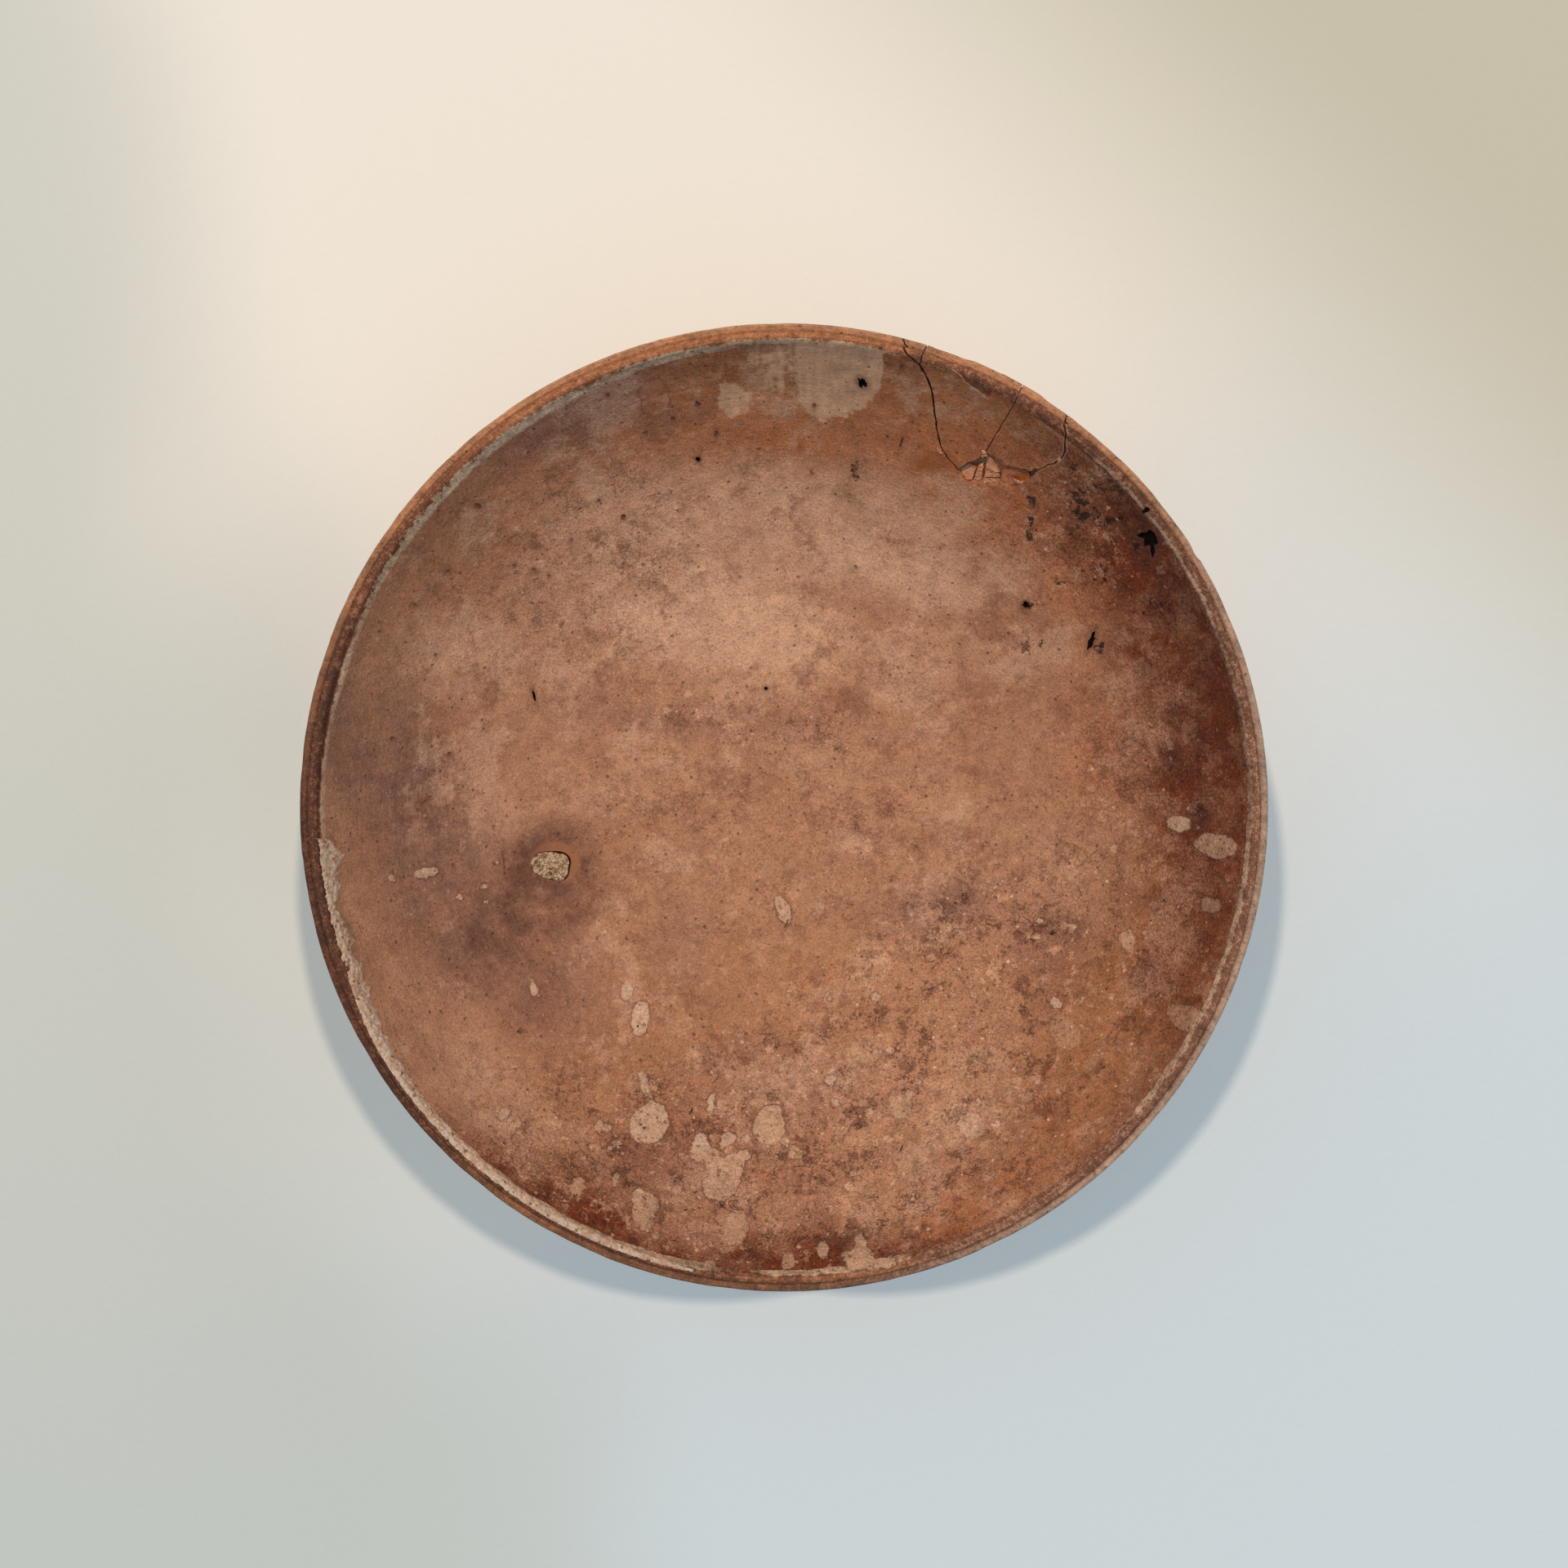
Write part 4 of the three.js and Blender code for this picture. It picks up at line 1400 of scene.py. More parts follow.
    def soot(self, x: Array, y: Array) -> Array:
        """Works out the dark smear round each pit.

        Args:
            x, y: Plan positions.

        Returns:
            1 at a pit's edge, 0 well away from it.
        """
        dark = np.zeros_like(x)
        for pit in PITS:
            dark = np.maximum(dark, fade(-0.7, 0.0, pit.inward(x, y)) * (0.9 if pit.deep else 0.45))
        return dark

    def near_crack(self, x: Array, y: Array, z: Array) -> Array:
        """Works out how near each point is to the chipped joint at the right.

        Args:
            x, y, z: Points of the surface, mm.

        Returns:
            1 on the joint, 0 further off than 1.2 mm.
        """
        near = np.zeros_like(x)
        close = np.all([part > least for part, least in zip((x, y, z), self.crack_zone)], axis=0)
        if not np.any(close):
            return near
        points = self.joint_frame.to_frame(np.stack([x[close], y[close], z[close]], axis=1))
        gap = np.full(len(points), 9.0)
        for spot in self.right_crack:
            gap = np.minimum(gap, np.linalg.norm(points[:, :2] - spot, axis=1))
        near[close] = fade(1.0, 0.1, gap)
        return near

    def paint(self, piece: Piece) -> None:
        """Keeps the marks as attributes of a piece's mesh.

        Args:
            piece: A piece of the turned clay.
        """
        mesh = piece.data
        flat = np.empty(len(mesh.vertices) * 3)
        mesh.vertices.foreach_get("co", flat)
        x, y, z = (flat.reshape(-1, 3) / MM).T
        for name, values in self.marks(x, y, z).items():
            store = mesh.attributes.new(name, "FLOAT", "POINT")
            store.data.foreach_set("value", values.astype(np.float32))


def close_ball(build: MeshBuild, around: int, rings: int) -> None:
    """Fills the faces of a closed ball whose rings and two poles are in place.

    Args:
        build: The mesh, with its rings from top to bottom and then both poles.
        around: Points in each ring.
        rings: Number of rings.
    """
    pole = rings * around
    for k in range(rings - 1):
        build.band(k * around, (k + 1) * around, around)
    last = (rings - 1) * around
    for j in range(around):
        i = (j + 1) % around
        build.faces.append((pole, j, i))
        build.faces.append((pole + 1, last + i, last + j))


@dataclass
class RimRepair:
    """The broken and glued rim: joints, sherds, chip, flakes, resin and beads.

    Attributes:
        turning: Turns the fine wedge that the sherds are cut from.
        sherd_angle, sherd_inset: Place of the frame that the joints are drawn in.
        loss_angle, loss_inset: Place of the chip's frame.
        loss_depth, edge_depth: Depth of the chip, and along its edges.
        beyond: How far a cutter runs past what it cuts.
        chip_reach, chip_height, chip_step: Half sizes and spacing of the chip's cutter.
        glue_depth: Depth of the adhesive in the open joints.
        sherd_wedge, glue_wedge: Angles, inner radius and spacing of the wedges they are cut from.
        fork, left_tip, middle_tip, right_tip: Where joints meet, as angle and distance in.
        courses: Points and widths of each joint, once they are drawn.
    """

    section: BowlSection
    turning: ClayTurning
    sherd_angle: float = 64.0
    sherd_inset: float = 10.0
    loss_angle: float = 57.5
    loss_inset: float = 14.0
    loss_depth: float = 1.25
    edge_depth: float = 0.16
    beyond: float = 8.0
    chip_reach: Point = (15.0, 9.0)
    chip_height: float = 6.0
    chip_step: float = 0.4
    glue_depth: float = 0.5
    sherd_wedge: tuple[float, float, float, float] = (46.0, 82.0, 78.0, 0.36)
    glue_wedge: tuple[float, float, float, float] = (48.0, 80.0, 80.0, 0.5)
    fork: Point = (73.0, 4.4)
    left_tip: Point = (62.6, 17.1)
    middle_tip: Point = (60.4, 12.3)
    right_tip: Point = (52.8, 9.6)
    courses: dict[str, tuple[Array, Array]] = field(default_factory=dict)

    @property
    def sherd_frame(self) -> WallFrame:
        """Frame that the joints and the sherds are drawn in."""
        return WallFrame(self.section, self.sherd_angle, self.sherd_inset)

    @property
    def loss_frame(self) -> WallFrame:
        """Frame that the chip and what lies in it are drawn in."""
        return WallFrame(self.section, self.loss_angle, self.loss_inset)

    def draw_joints(self) -> None:
        """Works out the fine course of each joint."""
        clear = -self.beyond / 2.0
        lines = {
            "left_above": (((77.2, clear), (75.6, 2.2), self.fork), 0.26, 0.42, 50, 0.06),
            "left_below": ((
                self.fork, (71.5, 5.8), (70.3, 7.4), (69.4, 9.5), (67.5, 13.4), (65.8, 15.6), self.left_tip,
            ), 0.5, 0.26, 53, 0.03),
            "branch": (((72.6, clear), self.fork), 0.22, 0.3, 56, 0.06),
            "middle": (((60.9, clear), (60.3, 3.4), (60.3, 6.1), self.middle_tip), 0.16, 0.24, 59, 0.04),
            "right": ((
                (55.0, clear), (54.2, 1.8), (53.2, 3.4), (52.3, 4.8), (51.6, 5.8), (51.5, 7.2),
                self.right_tip,
            ), 0.4, 0.24, 62, 0.09),
            "left_foot": ((self.left_tip, (61.9, 15.3), (60.8, 13.9), self.middle_tip), 0.15, 0.15, 65, 0.06),
            "right_foot": ((
                self.middle_tip, (58.1, 12.1), (56.4, 12.4), (55.4, 11.5), (54.1, 11.2), self.right_tip,
            ), 0.17, 0.22, 68, 0.14),
        }
        self.courses = {name: JointLine(*row).course(self.sherd_frame) for name, row in lines.items()}

    def outline(self, *names: str) -> Array:
        """Puts joints together to a closed outline.

        Args:
            *names: The joints in order. A name with a minus in front runs backwards.

        Returns:
            The outline's corners in the sherds' frame.
        """
        parts = []
        for name in names:
            line = self.courses[name.lstrip("-")][0]
            parts.append((line[::-1] if name.startswith("-") else line)[:-1])
        last = self.courses[names[-1].lstrip("-")][0]
        parts.append(last[:1] if names[-1].startswith("-") else last[-1:])
        return np.concatenate(parts)

    def outlines(self) -> dict[str, Array]:
        """Outlines of the two sherds and the sliver."""
        return {
            "rim_sherd_left": self.outline("branch", "left_below", "left_foot", "-middle"),
            "rim_sherd_right": self.outline("middle", "right_foot", "-right"),
            "rim_sliver": self.outline("left_above", "-branch"),
        }

    @property
    def through(self) -> float:
        """Half the length of a cutter that passes through the wall."""
        return self.section.wall_thickness + self.beyond

    def plug(self, name: str, outline: Array) -> Piece:
        """Makes a solid through the wall with an outline of the sherds' frame."""
        block = prism_block(self.sherd_frame, outline, -self.through, self.through).to_object(name)
        set_face_finish(block, Finish.BREAK)
        return block

    def open_joints(self) -> Piece:
        """Makes the solid that opens all the joints."""
        ribbons = []
        for name, (line, width) in self.courses.items():
            block = ribbon_block(self.sherd_frame, line, width, -self.through, self.through)
            ribbons.append(block.to_object("joint_" + name))
        joints = merge_all(ribbons)
        set_face_finish(joints, Finish.BREAK)
        return joints

    def chip_floor(self, x: Array, y: Array) -> Array:
        """Depth of the chip's uneven floor.

        Args:
            x, y: Positions in the chip's frame.

        Returns:
            Depths, less than 0.
        """
        upper, lower = (line[np.argsort(line[:, 0])] for line in self.chip_edges())
        above = np.interp(x, upper[:, 0], upper[:, 1]) - y
        below = y - np.interp(x, lower[:, 0], lower[:, 1])
        slope = fade(-0.3, 2.7, above) * fade(-0.4, 2.1, below)
        facets = np.minimum(0.10 * x + 0.12 * y, 0.3 - 0.08 * x + 0.06 * y)
        rough = 0.12 * facets + 0.05 * Ripple(71, 1.4).at(x, y)
        return -self.edge_depth - (self.loss_depth - self.edge_depth) * slope + rough

    def chip_edges(self) -> tuple[Array, Array]:
        """Upper and lower edge of the chip, in its frame."""
        edge = JointLine((
            self.left_tip, (61.4, 18.4), (60.0, 18.3), (58.4, 17.4), (56.3, 16.2), (54.5, 14.8),
            (53.2, 13.1), self.right_tip,
        ), 0.3, 0.3, 74, 0.12)
        feet = self.outline("left_foot", "right_foot")[::-1]
        space = self.sherd_frame.to_space(at_depth(feet, 0.0))
        return self.loss_frame.to_frame(space)[:, :2], edge.course(self.loss_frame)[0]

    def chip_cutter(self) -> Piece:
        """Makes the solid that sinks the chip under the sherds."""
        upper, lower = self.chip_edges()
        outline = np.concatenate([lower[:-1], upper[1:-1]])
        block = prism_block(self.loss_frame, outline, -self.chip_height, self.beyond).to_object("chip_prism")
        slab = slab_block(
            self.loss_frame, self.chip_reach, self.chip_step, self.chip_floor,
            lambda x, y: np.full_like(x, self.chip_height),
        ).to_object("chip_slab")
        combine(block, slab, "INTERSECT")
        set_face_finish(block, Finish.SOAKED)
        return block

    def body_cutter(self) -> Piece:
        """Makes the solid that takes the break out of the bowl's wall."""
        gap = merge_all([self.plug("gap_" + name, line) for name, line in self.outlines().items()])
        set_face_finish(gap, Finish.BREAK)
        combine(gap, self.open_joints(), "UNION")
        combine(gap, self.chip_cutter(), "UNION")
        return gap

    def sherds(self) -> list[Piece]:
        """Makes the two sherds and the sliver from a fine wedge of the wall."""
        wedge = self.turning.wedge("wedge", *self.sherd_wedge)
        pieces = []
        joints = self.open_joints()
        for name, outline in self.outlines().items():
            piece = copy_of(wedge)
            set_face_finish(piece, Finish.SKIN)
            combine(piece, self.plug("cut_" + name, outline), "INTERSECT")
            combine(piece, copy_of(joints), "DIFFERENCE")
            piece.name = name + "_fine"
            pieces.append(piece)
        bpy.data.objects.remove(wedge)
        bpy.data.objects.remove(joints)
        return pieces

    def adhesive(self) -> Piece:
        """Makes the old adhesive at the bottom of the joints, dark for the glue and for painted shade in the
        cracks.
        """
        wedge = self.turning.wedge("joint_adhesive", *self.glue_wedge, -self.glue_depth)
        combine(wedge, self.open_joints(), "INTERSECT")
        return wedge

    def lay_in_chip(
        self, name: str, line: Array, box: tuple[Array, Array], step: float, clear: float, top: Surface,
        depth: float,
    ) -> Piece:
        """Makes a piece that lies on the chip's floor.

        Args:
            name: Name of the object.
            line: Its outline in the chip's frame.
            box: The middle and the half size of a rectangle round it.
            step: Distance between the points of its faces.
            clear: How far it lies above the floor.
            top: Depth of its upper face.
            depth: Half the length of the cutter that gives it its outline.

        Returns:
            The piece.
        """
        def under(x: Array, y: Array) -> Array:
            """Depth of its lower face."""
            return self.chip_floor(x, y) + clear

        piece = prism_block(self.loss_frame, line, -depth, depth).to_object(name)
        slab = slab_block(self.loss_frame, tuple(box[1]), step, under, top, tuple(box[0]))
        combine(piece, slab.to_object(name + "_slab"), "INTERSECT")
        return piece

    def flake(self, name: str, corners: Sequence[Point], tilt: Point, top: float, seed: int) -> Piece:
        """Makes a flake of fresh clay that lies in the chip.

        Args:
            name: Name of the object.
            corners: Its outline as angle and distance in from the rim.
            tilt: How its top leans along x and y.
            top: Depth of its top at its middle.
            seed: Picks its unevenness.

        Returns:
            The flake.
        """
        flat = self.loss_frame.flatten(corners)
        middle = flat.mean(axis=0)
        line = np.array(spaced([tuple(p) for p in flat] + [tuple(flat[0])], 0.22))[:-1]
        line = middle + 1.1 * (line - middle) + 0.035 * np.stack(
            [Ripple(seed, 0.9).at(*line.T), Ripple(seed + 1, 0.9).at(*line.T)], axis=1
        )
        reach = np.abs(line - middle).max(axis=0) + 0.5

        def upper(x: Array, y: Array) -> Array:
            """Height of the flake's split top."""
            lean = tilt[0] * (x - middle[0]) + tilt[1] * (y - middle[1])
            rough = 0.035 * Ripple(seed + 2, 0.8).at(x, y) + 0.05 * Ripple(seed + 3, 2.2).at(x, y)
            return np.maximum(top + lean + rough, self.chip_floor(x, y) + 0.1)

        return self.lay_in_chip(name, line, (middle, reach), 0.16, 0.02, upper, self.beyond)

    def flakes(self) -> list[Piece]:
        """Makes the five flakes in the chip."""
        rows = (
            ("left", (
                (62.3, 17.2), (61.6, 15.9), (60.5, 15.8), (60.2, 17.7), (60.6, 18.1), (61.3, 18.0),
            ), (0.05, -0.16), -0.42, 81),
            ("middle", (
                (60.3, 15.2), (59.8, 14.7), (58.95, 16.9), (59.3, 17.4), (59.9, 17.3),
            ), (-0.10, -0.06), -0.50, 86),
            ("upper", (
                (59.9, 13.1), (59.2, 13.1), (57.3, 14.1), (57.7, 14.5), (59.1, 14.7),
            ), (0.06, -0.12), -0.52, 91),
            ("lower", ((59.0, 15.1), (57.2, 14.6), (56.8, 15.0), (58.6, 16.1)), (0.0, -0.08), -0.50, 96),
            ("bottom", ((58.6, 16.6), (56.7, 15.4), (56.5, 15.7), (58.2, 17.1)), (0.0, 0.05), -0.48, 101),
        )
        return [self.flake(f"chip_flake_{name}_split", *row) for name, *row in rows]

    def resin(self) -> Piece:
        """Makes the pool of adhesive, smooth on top, with a raised edge."""
        flat = self.loss_frame.flatten((
            (56.9, 13.5), (56.2, 12.8), (55.0, 12.0), (53.7, 11.5), (53.2, 12.4), (53.4, 13.1),
            (54.6, 14.7), (56.2, 15.6),
        ))
        closed = [tuple(p) for p in flat] + [tuple(flat[0])]
        line = np.array(spaced(rounded(closed, 2), 0.25))[:-1]
        middle = flat.mean(axis=0)
        reach = np.abs(line - middle).max(axis=0) + 0.4

        def surface(x: Array, y: Array) -> Array:
            """Height of the resin, which climbs at its far end."""
            pull = fade(0.2, 1.0, np.hypot((x - middle[0]) / reach[0], (y - middle[1]) / reach[1]))
            level = -0.72 + 0.3 * pull + 0.02 * Ripple(106, 3.0).at(x, y)
            return np.maximum(level, self.chip_floor(x, y) + 0.05)

        return self.lay_in_chip("resin_pool", line, (middle, reach), 0.2, -0.02, surface, self.beyond / 2.0)

    def bead(self, name: str, place: Point, drops: Sequence[tuple[float, float, float, float]]) -> Piece:
        """Makes a bead of clear glue from drops that run together.

        Args:
            name: Name of the object.
            place: Angle and distance in from the rim.
            drops: Each drop's x, y, half length and height, in a wall frame there.

        Returns:
            The bead.
        """
        frame_ = WallFrame(self.section, place[0], place[1])
        around, rings = 28, 16
        phi = np.linspace(0.0, FULL_TURN, around, endpoint=False)
        balls = []
        for dx, dy, size, rise in drops:
            build = MeshBuild()
            poles = [[dx, dy, rise], [dx, dy, -0.3]]
            for k in range(1, rings):
                tilt = math.pi * k / rings
                wide, up = 1.25 * size * math.sin(tilt), math.cos(tilt)
                depth = up * rise if up > 0.0 else up * 0.3
                ring = [dx + wide * np.cos(phi), dy + 0.8 * wide * np.sin(phi), np.full(around, depth)]
                build.add_points(frame_.to_space(np.stack(ring, axis=1)))
            build.add_points(frame_.to_space(np.array(poles)))
            close_ball(build, around, rings - 1)
            balls.append(build.to_object(name))
        return merge_all(balls)

    def beads(self) -> list[Piece]:
        """Makes the four beads of glue."""
        rows = (
            ("left_crack", (66.5, 15.7), (
                (0.0, 0.0, 0.5, 0.35), (0.6, -0.25, 0.35, 0.3), (-0.35, 0.35, 0.3, 0.25),
                (0.25, 0.5, 0.22, 0.2),
            )),
            ("middle_crack", (60.5, 12.7), (
                (0.0, 0.2, 0.5, 0.5), (0.45, -0.2, 0.4, 0.45), (-0.35, 0.45, 0.35, 0.35),
                (0.1, -0.7, 0.3, 0.4),
            )),
            ("right_crack", (51.6, 7.2), (
                (0.0, 0.3, 0.45, 0.3), (0.2, -0.3, 0.35, 0.25), (-0.2, 0.9, 0.3, 0.2),
            )),
            ("chip_edge", (54.1, 13.6), (
                (-0.9, -0.3, 0.5, 0.3), (-0.2, -0.1, 0.5, 0.3), (0.5, 0.15, 0.45, 0.25),
            )),
        )
        return [self.bead(f"glue_bead_{name}_drops", *row) for name, *row in rows]


@dataclass
class LimeDeposits:
    """The lime nodule in the floor and the crust on the lip's inner edge.

    Attributes:
        nodule_angle, nodule_radius: Where the nodule lies in the bowl.
        nodule_length: Its length, towards the axis.
        nodule_proud: How far it stands out of the floor.
        nodule_turn: Degrees that it is turned from the line to the axis.
        squareness: How square its outline is. 2 is an ellipse.
        crust_outer: Outer edge of the crust, in from the rim.
        crust_rise, crust_sink: How far its top and its underside lie out of the clay.
        crust_headroom: How far it may stand over the lip's band.
    """

    section: BowlSection
    nodule_angle: float = -165.5
    nodule_radius: float = 55.6
    nodule_length: float = 9.0
    nodule_breadth: float = 6.2
    nodule_thickness: float = 2.4
    nodule_proud: float = 0.5
    nodule_turn: float = -22.0
    squareness: float = 2.7
    crust_outer: float = 2.75
    crust_rise: float = 0.34
    crust_sink: float = -0.35
    crust_headroom: float = 0.29

    def turned(self, x: Array, y: Array, z: Array) -> Array:
        """Turns points of the nodule in its frame, and narrows its far end."""
        ca, sa = math.cos(math.radians(self.nodule_turn)), math.sin(math.radians(self.nodule_turn))
        narrow = x * (1.0 - 0.035 * y)
        return np.stack([narrow * ca - y * sa, narrow * sa + y * ca, z], axis=1)

    @property
    def nodule_frame(self) -> WallFrame:
        """Frame that the nodule is drawn in."""
        return WallFrame(self.section, self.nodule_angle, self.section.rim_radius - self.nodule_radius)

    def rounded_square(self, phi: Array) -> Array:
        """Distance from the middle to the edge of a rounded square, in each direction."""
        power = self.squareness
        return (np.abs(np.cos(phi)) ** power + np.abs(np.sin(phi)) ** power) ** (-1.0 / power)

    def nodule(self) -> Piece:
        """Makes the nodule: a rounded block with a rough, pitted top."""
        around, rings = 128, 34
        phi = np.linspace(0.0, FULL_TURN, around, endpoint=False)
        square = self.rounded_square(phi)
        wander = 1.0 + 0.03 * Ripple(121, 1.4).at(np.cos(phi), np.sin(phi))
        wander += 0.02 * Ripple(122, 0.5).at(np.cos(phi), np.sin(phi))
        build = MeshBuild()
        rows = []
        for k in range(1, rings):
            tilt = math.pi * k / rings
            share = math.sin(tilt) ** 0.62
            depth = math.copysign(abs(math.cos(tilt)) ** 0.55, math.cos(tilt))
            x = self.nodule_breadth / 2.0 * share * square * wander * np.cos(phi)
            y = self.nodule_length / 2.0 * share * square * wander * np.sin(phi)
            z = np.full_like(x, (depth - 1.0) * self.nodule_thickness / 2.0 + self.nodule_proud)
            bumps = 0.16 * Ripple(123, 1.1).at(x, y) - 0.26 * fade(0.3, 1.2, Ripple(124, 0.8).at(x, y))
            bumps = bumps - 0.22 * fade(1.7, 0.4, np.hypot(x, y - 1.9))
            bumps = bumps - 0.18 * fade(1.4, 0.3, np.hypot(x, y + 1.7))
            z = z + bumps * fade(0.2, 0.9, depth)
            rows.append(self.turned(x, y, z))
        rows.append(np.array([
            [0.0, 0.0, self.nodule_proud], [0.0, 0.0, self.nodule_proud - self.nodule_thickness],
        ]))
        build.add_points(self.nodule_frame.to_space(np.concatenate(rows)))
        close_ball(build, around, rings - 1)
        return build.to_object("lime_nodule_rough")

    def socket(self) -> Piece:
        """Makes the solid that sinks the nodule's socket."""
        phi = np.linspace(0.0, FULL_TURN, 96, endpoint=False)
        square = self.rounded_square(phi)
        grow = 0.14 + 0.06 * Ripple(125, 0.9).at(np.cos(phi), np.sin(phi))
        outline = self.turned(
            (self.nodule_breadth / 2.0 + grow) * square * np.cos(phi),
            (self.nodule_length / 2.0 + grow) * square * np.sin(phi), phi,
        )[:, :2]
        cutter = prism_block(self.nodule_frame, outline, 0.2 - self.nodule_thickness, 3.0).to_object("socket")
        set_face_finish(cutter, Finish.DIMPLE)
        return cutter

    @staticmethod
    def crust_widths() -> Array:
        """Places round the rim in degrees, and the crust's breadth at each."""
        return np.array((
            (-176.4, 0.0), (-175.9, 2.4), (-175.0, 3.6), (-173.8, 4.3), (-173.0, 3.8), (-172.4, 3.2),
            (-170.6, 3.1), (-169.4, 3.2), (-168.3, 2.5), (-167.3, 2.0), (-166.5, 2.1), (-165.6, 2.8),
            (-164.0, 3.0), (-161.0, 2.8), (-158.5, 3.0), (-155.0, 2.7), (-150.0, 2.1), (-145.0, 1.8),
            (-140.0, 1.7), (-130.0, 1.7), (-120.0, 1.5), (-110.0, 1.3), (-101.0, 0.6),
        )).T

    def crust(self) -> Piece:
        """Makes the granular crust that follows the lip's inner corner."""
        start_radius = self.section.rim_radius - self.crust_outer
        wall = np.linspace(self.section.lip_inner - 0.15, self.section.lip_inner - 7.0, 40)
        corner = [
            (start_radius, self.section.rim_height),
            (self.section.lip_inner + 0.9, self.section.rim_height - 0.05),
            (self.section.lip_inner + 0.35, self.section.rim_height - 0.3),
        ]
        path = np.array(spaced(corner + list(zip(wall, self.section.inside(wall)[0])), 0.1))
        run = run_along(path)
        plan = start_radius - path[:, 0]
        normal = leftward(path)
        normal *= np.sign(normal[:, 1])[:, None]
        places, widths = self.crust_widths()
        count, across = 700, 17
        angles = np.linspace(places[0], places[-1], count)
        turn = np.radians(angles)
        width = np.interp(angles, places, widths)
        ragged = 0.20 * Ripple(131, 4.6).at(angles * 1.7) + 0.09 * Ripple(132, 1.6).at(angles * 1.7)
        ragged *= 0.25 + 0.75 * fade(-148.0, -158.0, angles)
        width = np.maximum(width + ragged * fade(0.4, 1.6, width), 0.12)
        outer = 0.07 * Ripple(133, 3.0).at(angles * 1.7) + 0.04 * Ripple(134, 0.9).at(angles * 1.7)
        outer = outer + np.minimum(1.2 * fade(-148.0, -162.0, angles), 0.6 * width)
        build = MeshBuild()
        tops, bottoms = [], []
        for k in range(across):
            share = k / (across - 1)
            inward = outer + share * (width - outer)
            along = np.interp(inward, plan, run)
            r, z, nr, nz = (np.interp(along, run, part) for part in (*path.T, *normal.T))
            x, y = r * np.cos(turn), r * np.sin(turn)
            dome = math.sin(math.pi * min(max(share, 0.02), 0.98)) ** 0.45
            grain = 0.10 * Ripple(135, 0.9).at(x, y, z) + 0.10 * Ripple(136, 2.2).at(x, y, z)
            holes = 0.22 * fade(0.9, 1.8, Ripple(137, 1.4).at(x, y, z))
            rise = np.clip(self.crust_rise + grain - holes, 0.05, 0.5) * dome - 0.04
            for rows, shift in ((tops, rise), (bottoms, self.crust_sink)):
                height = np.minimum(z + nz * shift, self.section.rim_height + self.crust_headroom)
                reach = r + nr * shift
                rows.append(np.stack([reach * np.cos(turn), reach * np.sin(turn), height], axis=1))
        top = [build.add_points(row) for row in tops]
        low = [build.add_points(row) for row in bottoms]
        last = count - 1
        for k in range(across - 1):
            build.band(top[k], top[k + 1], count, False, True)
            build.band(low[k], low[k + 1], count, False)
            build.faces.append((top[k], top[k + 1], low[k + 1], low[k]))
            build.faces.append((top[k] + last, low[k] + last, low[k + 1] + last, top[k + 1] + last))
        build.band(top[0], low[0], count, False)
        build.band(top[-1], low[-1], count, False, True)
        return build.to_object("rim_lime_crust_grains")


def pit_cutters(section: BowlSection) -> list[Piece]:
    """Makes the ragged solids that sink the pits.

    Args:
        section: The bowl's section.

    Returns:
        One cutter for each pit.
    """
    cutters = []
    for number, pit in enumerate(PITS):
        radius = math.hypot(pit.x, pit.y)
        angle = math.degrees(math.atan2(pit.y, pit.x))
        frame_ = WallFrame(section, angle, section.rim_radius - radius)
        _, slope = section.inside(np.array([radius]))
        count = 20
        phi = np.linspace(0.0, FULL_TURN, count, endpoint=False)
        rng = np.random.default_rng(400 + number)
        stray = 1.0 + pit.ragged * rng.uniform(-1.0, 0.7, count)
        turn = math.radians(pit.turn)
        u = pit.along * stray * np.cos(phi)
        v = pit.across * stray * np.sin(phi)
        px = pit.x + u * math.cos(turn) - v * math.sin(turn)
        py = pit.y + u * math.sin(turn) + v * math.cos(turn)
        side = math.radians(angle)
        out = px * math.cos(side) + py * math.sin(side) - radius
        along = px * -math.sin(side) + py * math.cos(side)
        outline = np.stack([-along, out / math.cos(slope[0])], axis=1)
        build = MeshBuild()
        rows = []
        low = pit.depth if pit.deep else 0.4 * pit.depth
        for depth, share in ((2.0, 1.12), (0.0, 1.0), (-0.7 * low, 0.75), (-low, 0.4)):
            middle = outline.mean(axis=0)
            ring = middle + (outline - middle) * share
            rows.append(at_depth(ring, depth))
        build.add_points(frame_.to_space(np.concatenate(rows)))
        for k in range(len(rows) - 1):
            build.band(k * count, (k + 1) * count, count)
        build.faces.append(tuple(range(count)))
        last = (len(rows) - 1) * count
        build.faces.append(tuple(last + j for j in reversed(range(count))))
        cutter = build.to_object(f"pit_{number}")
        set_face_finish(cutter, Finish.PIT if pit.deep else Finish.DIMPLE)
        cutters.append(cutter)
    return cutters


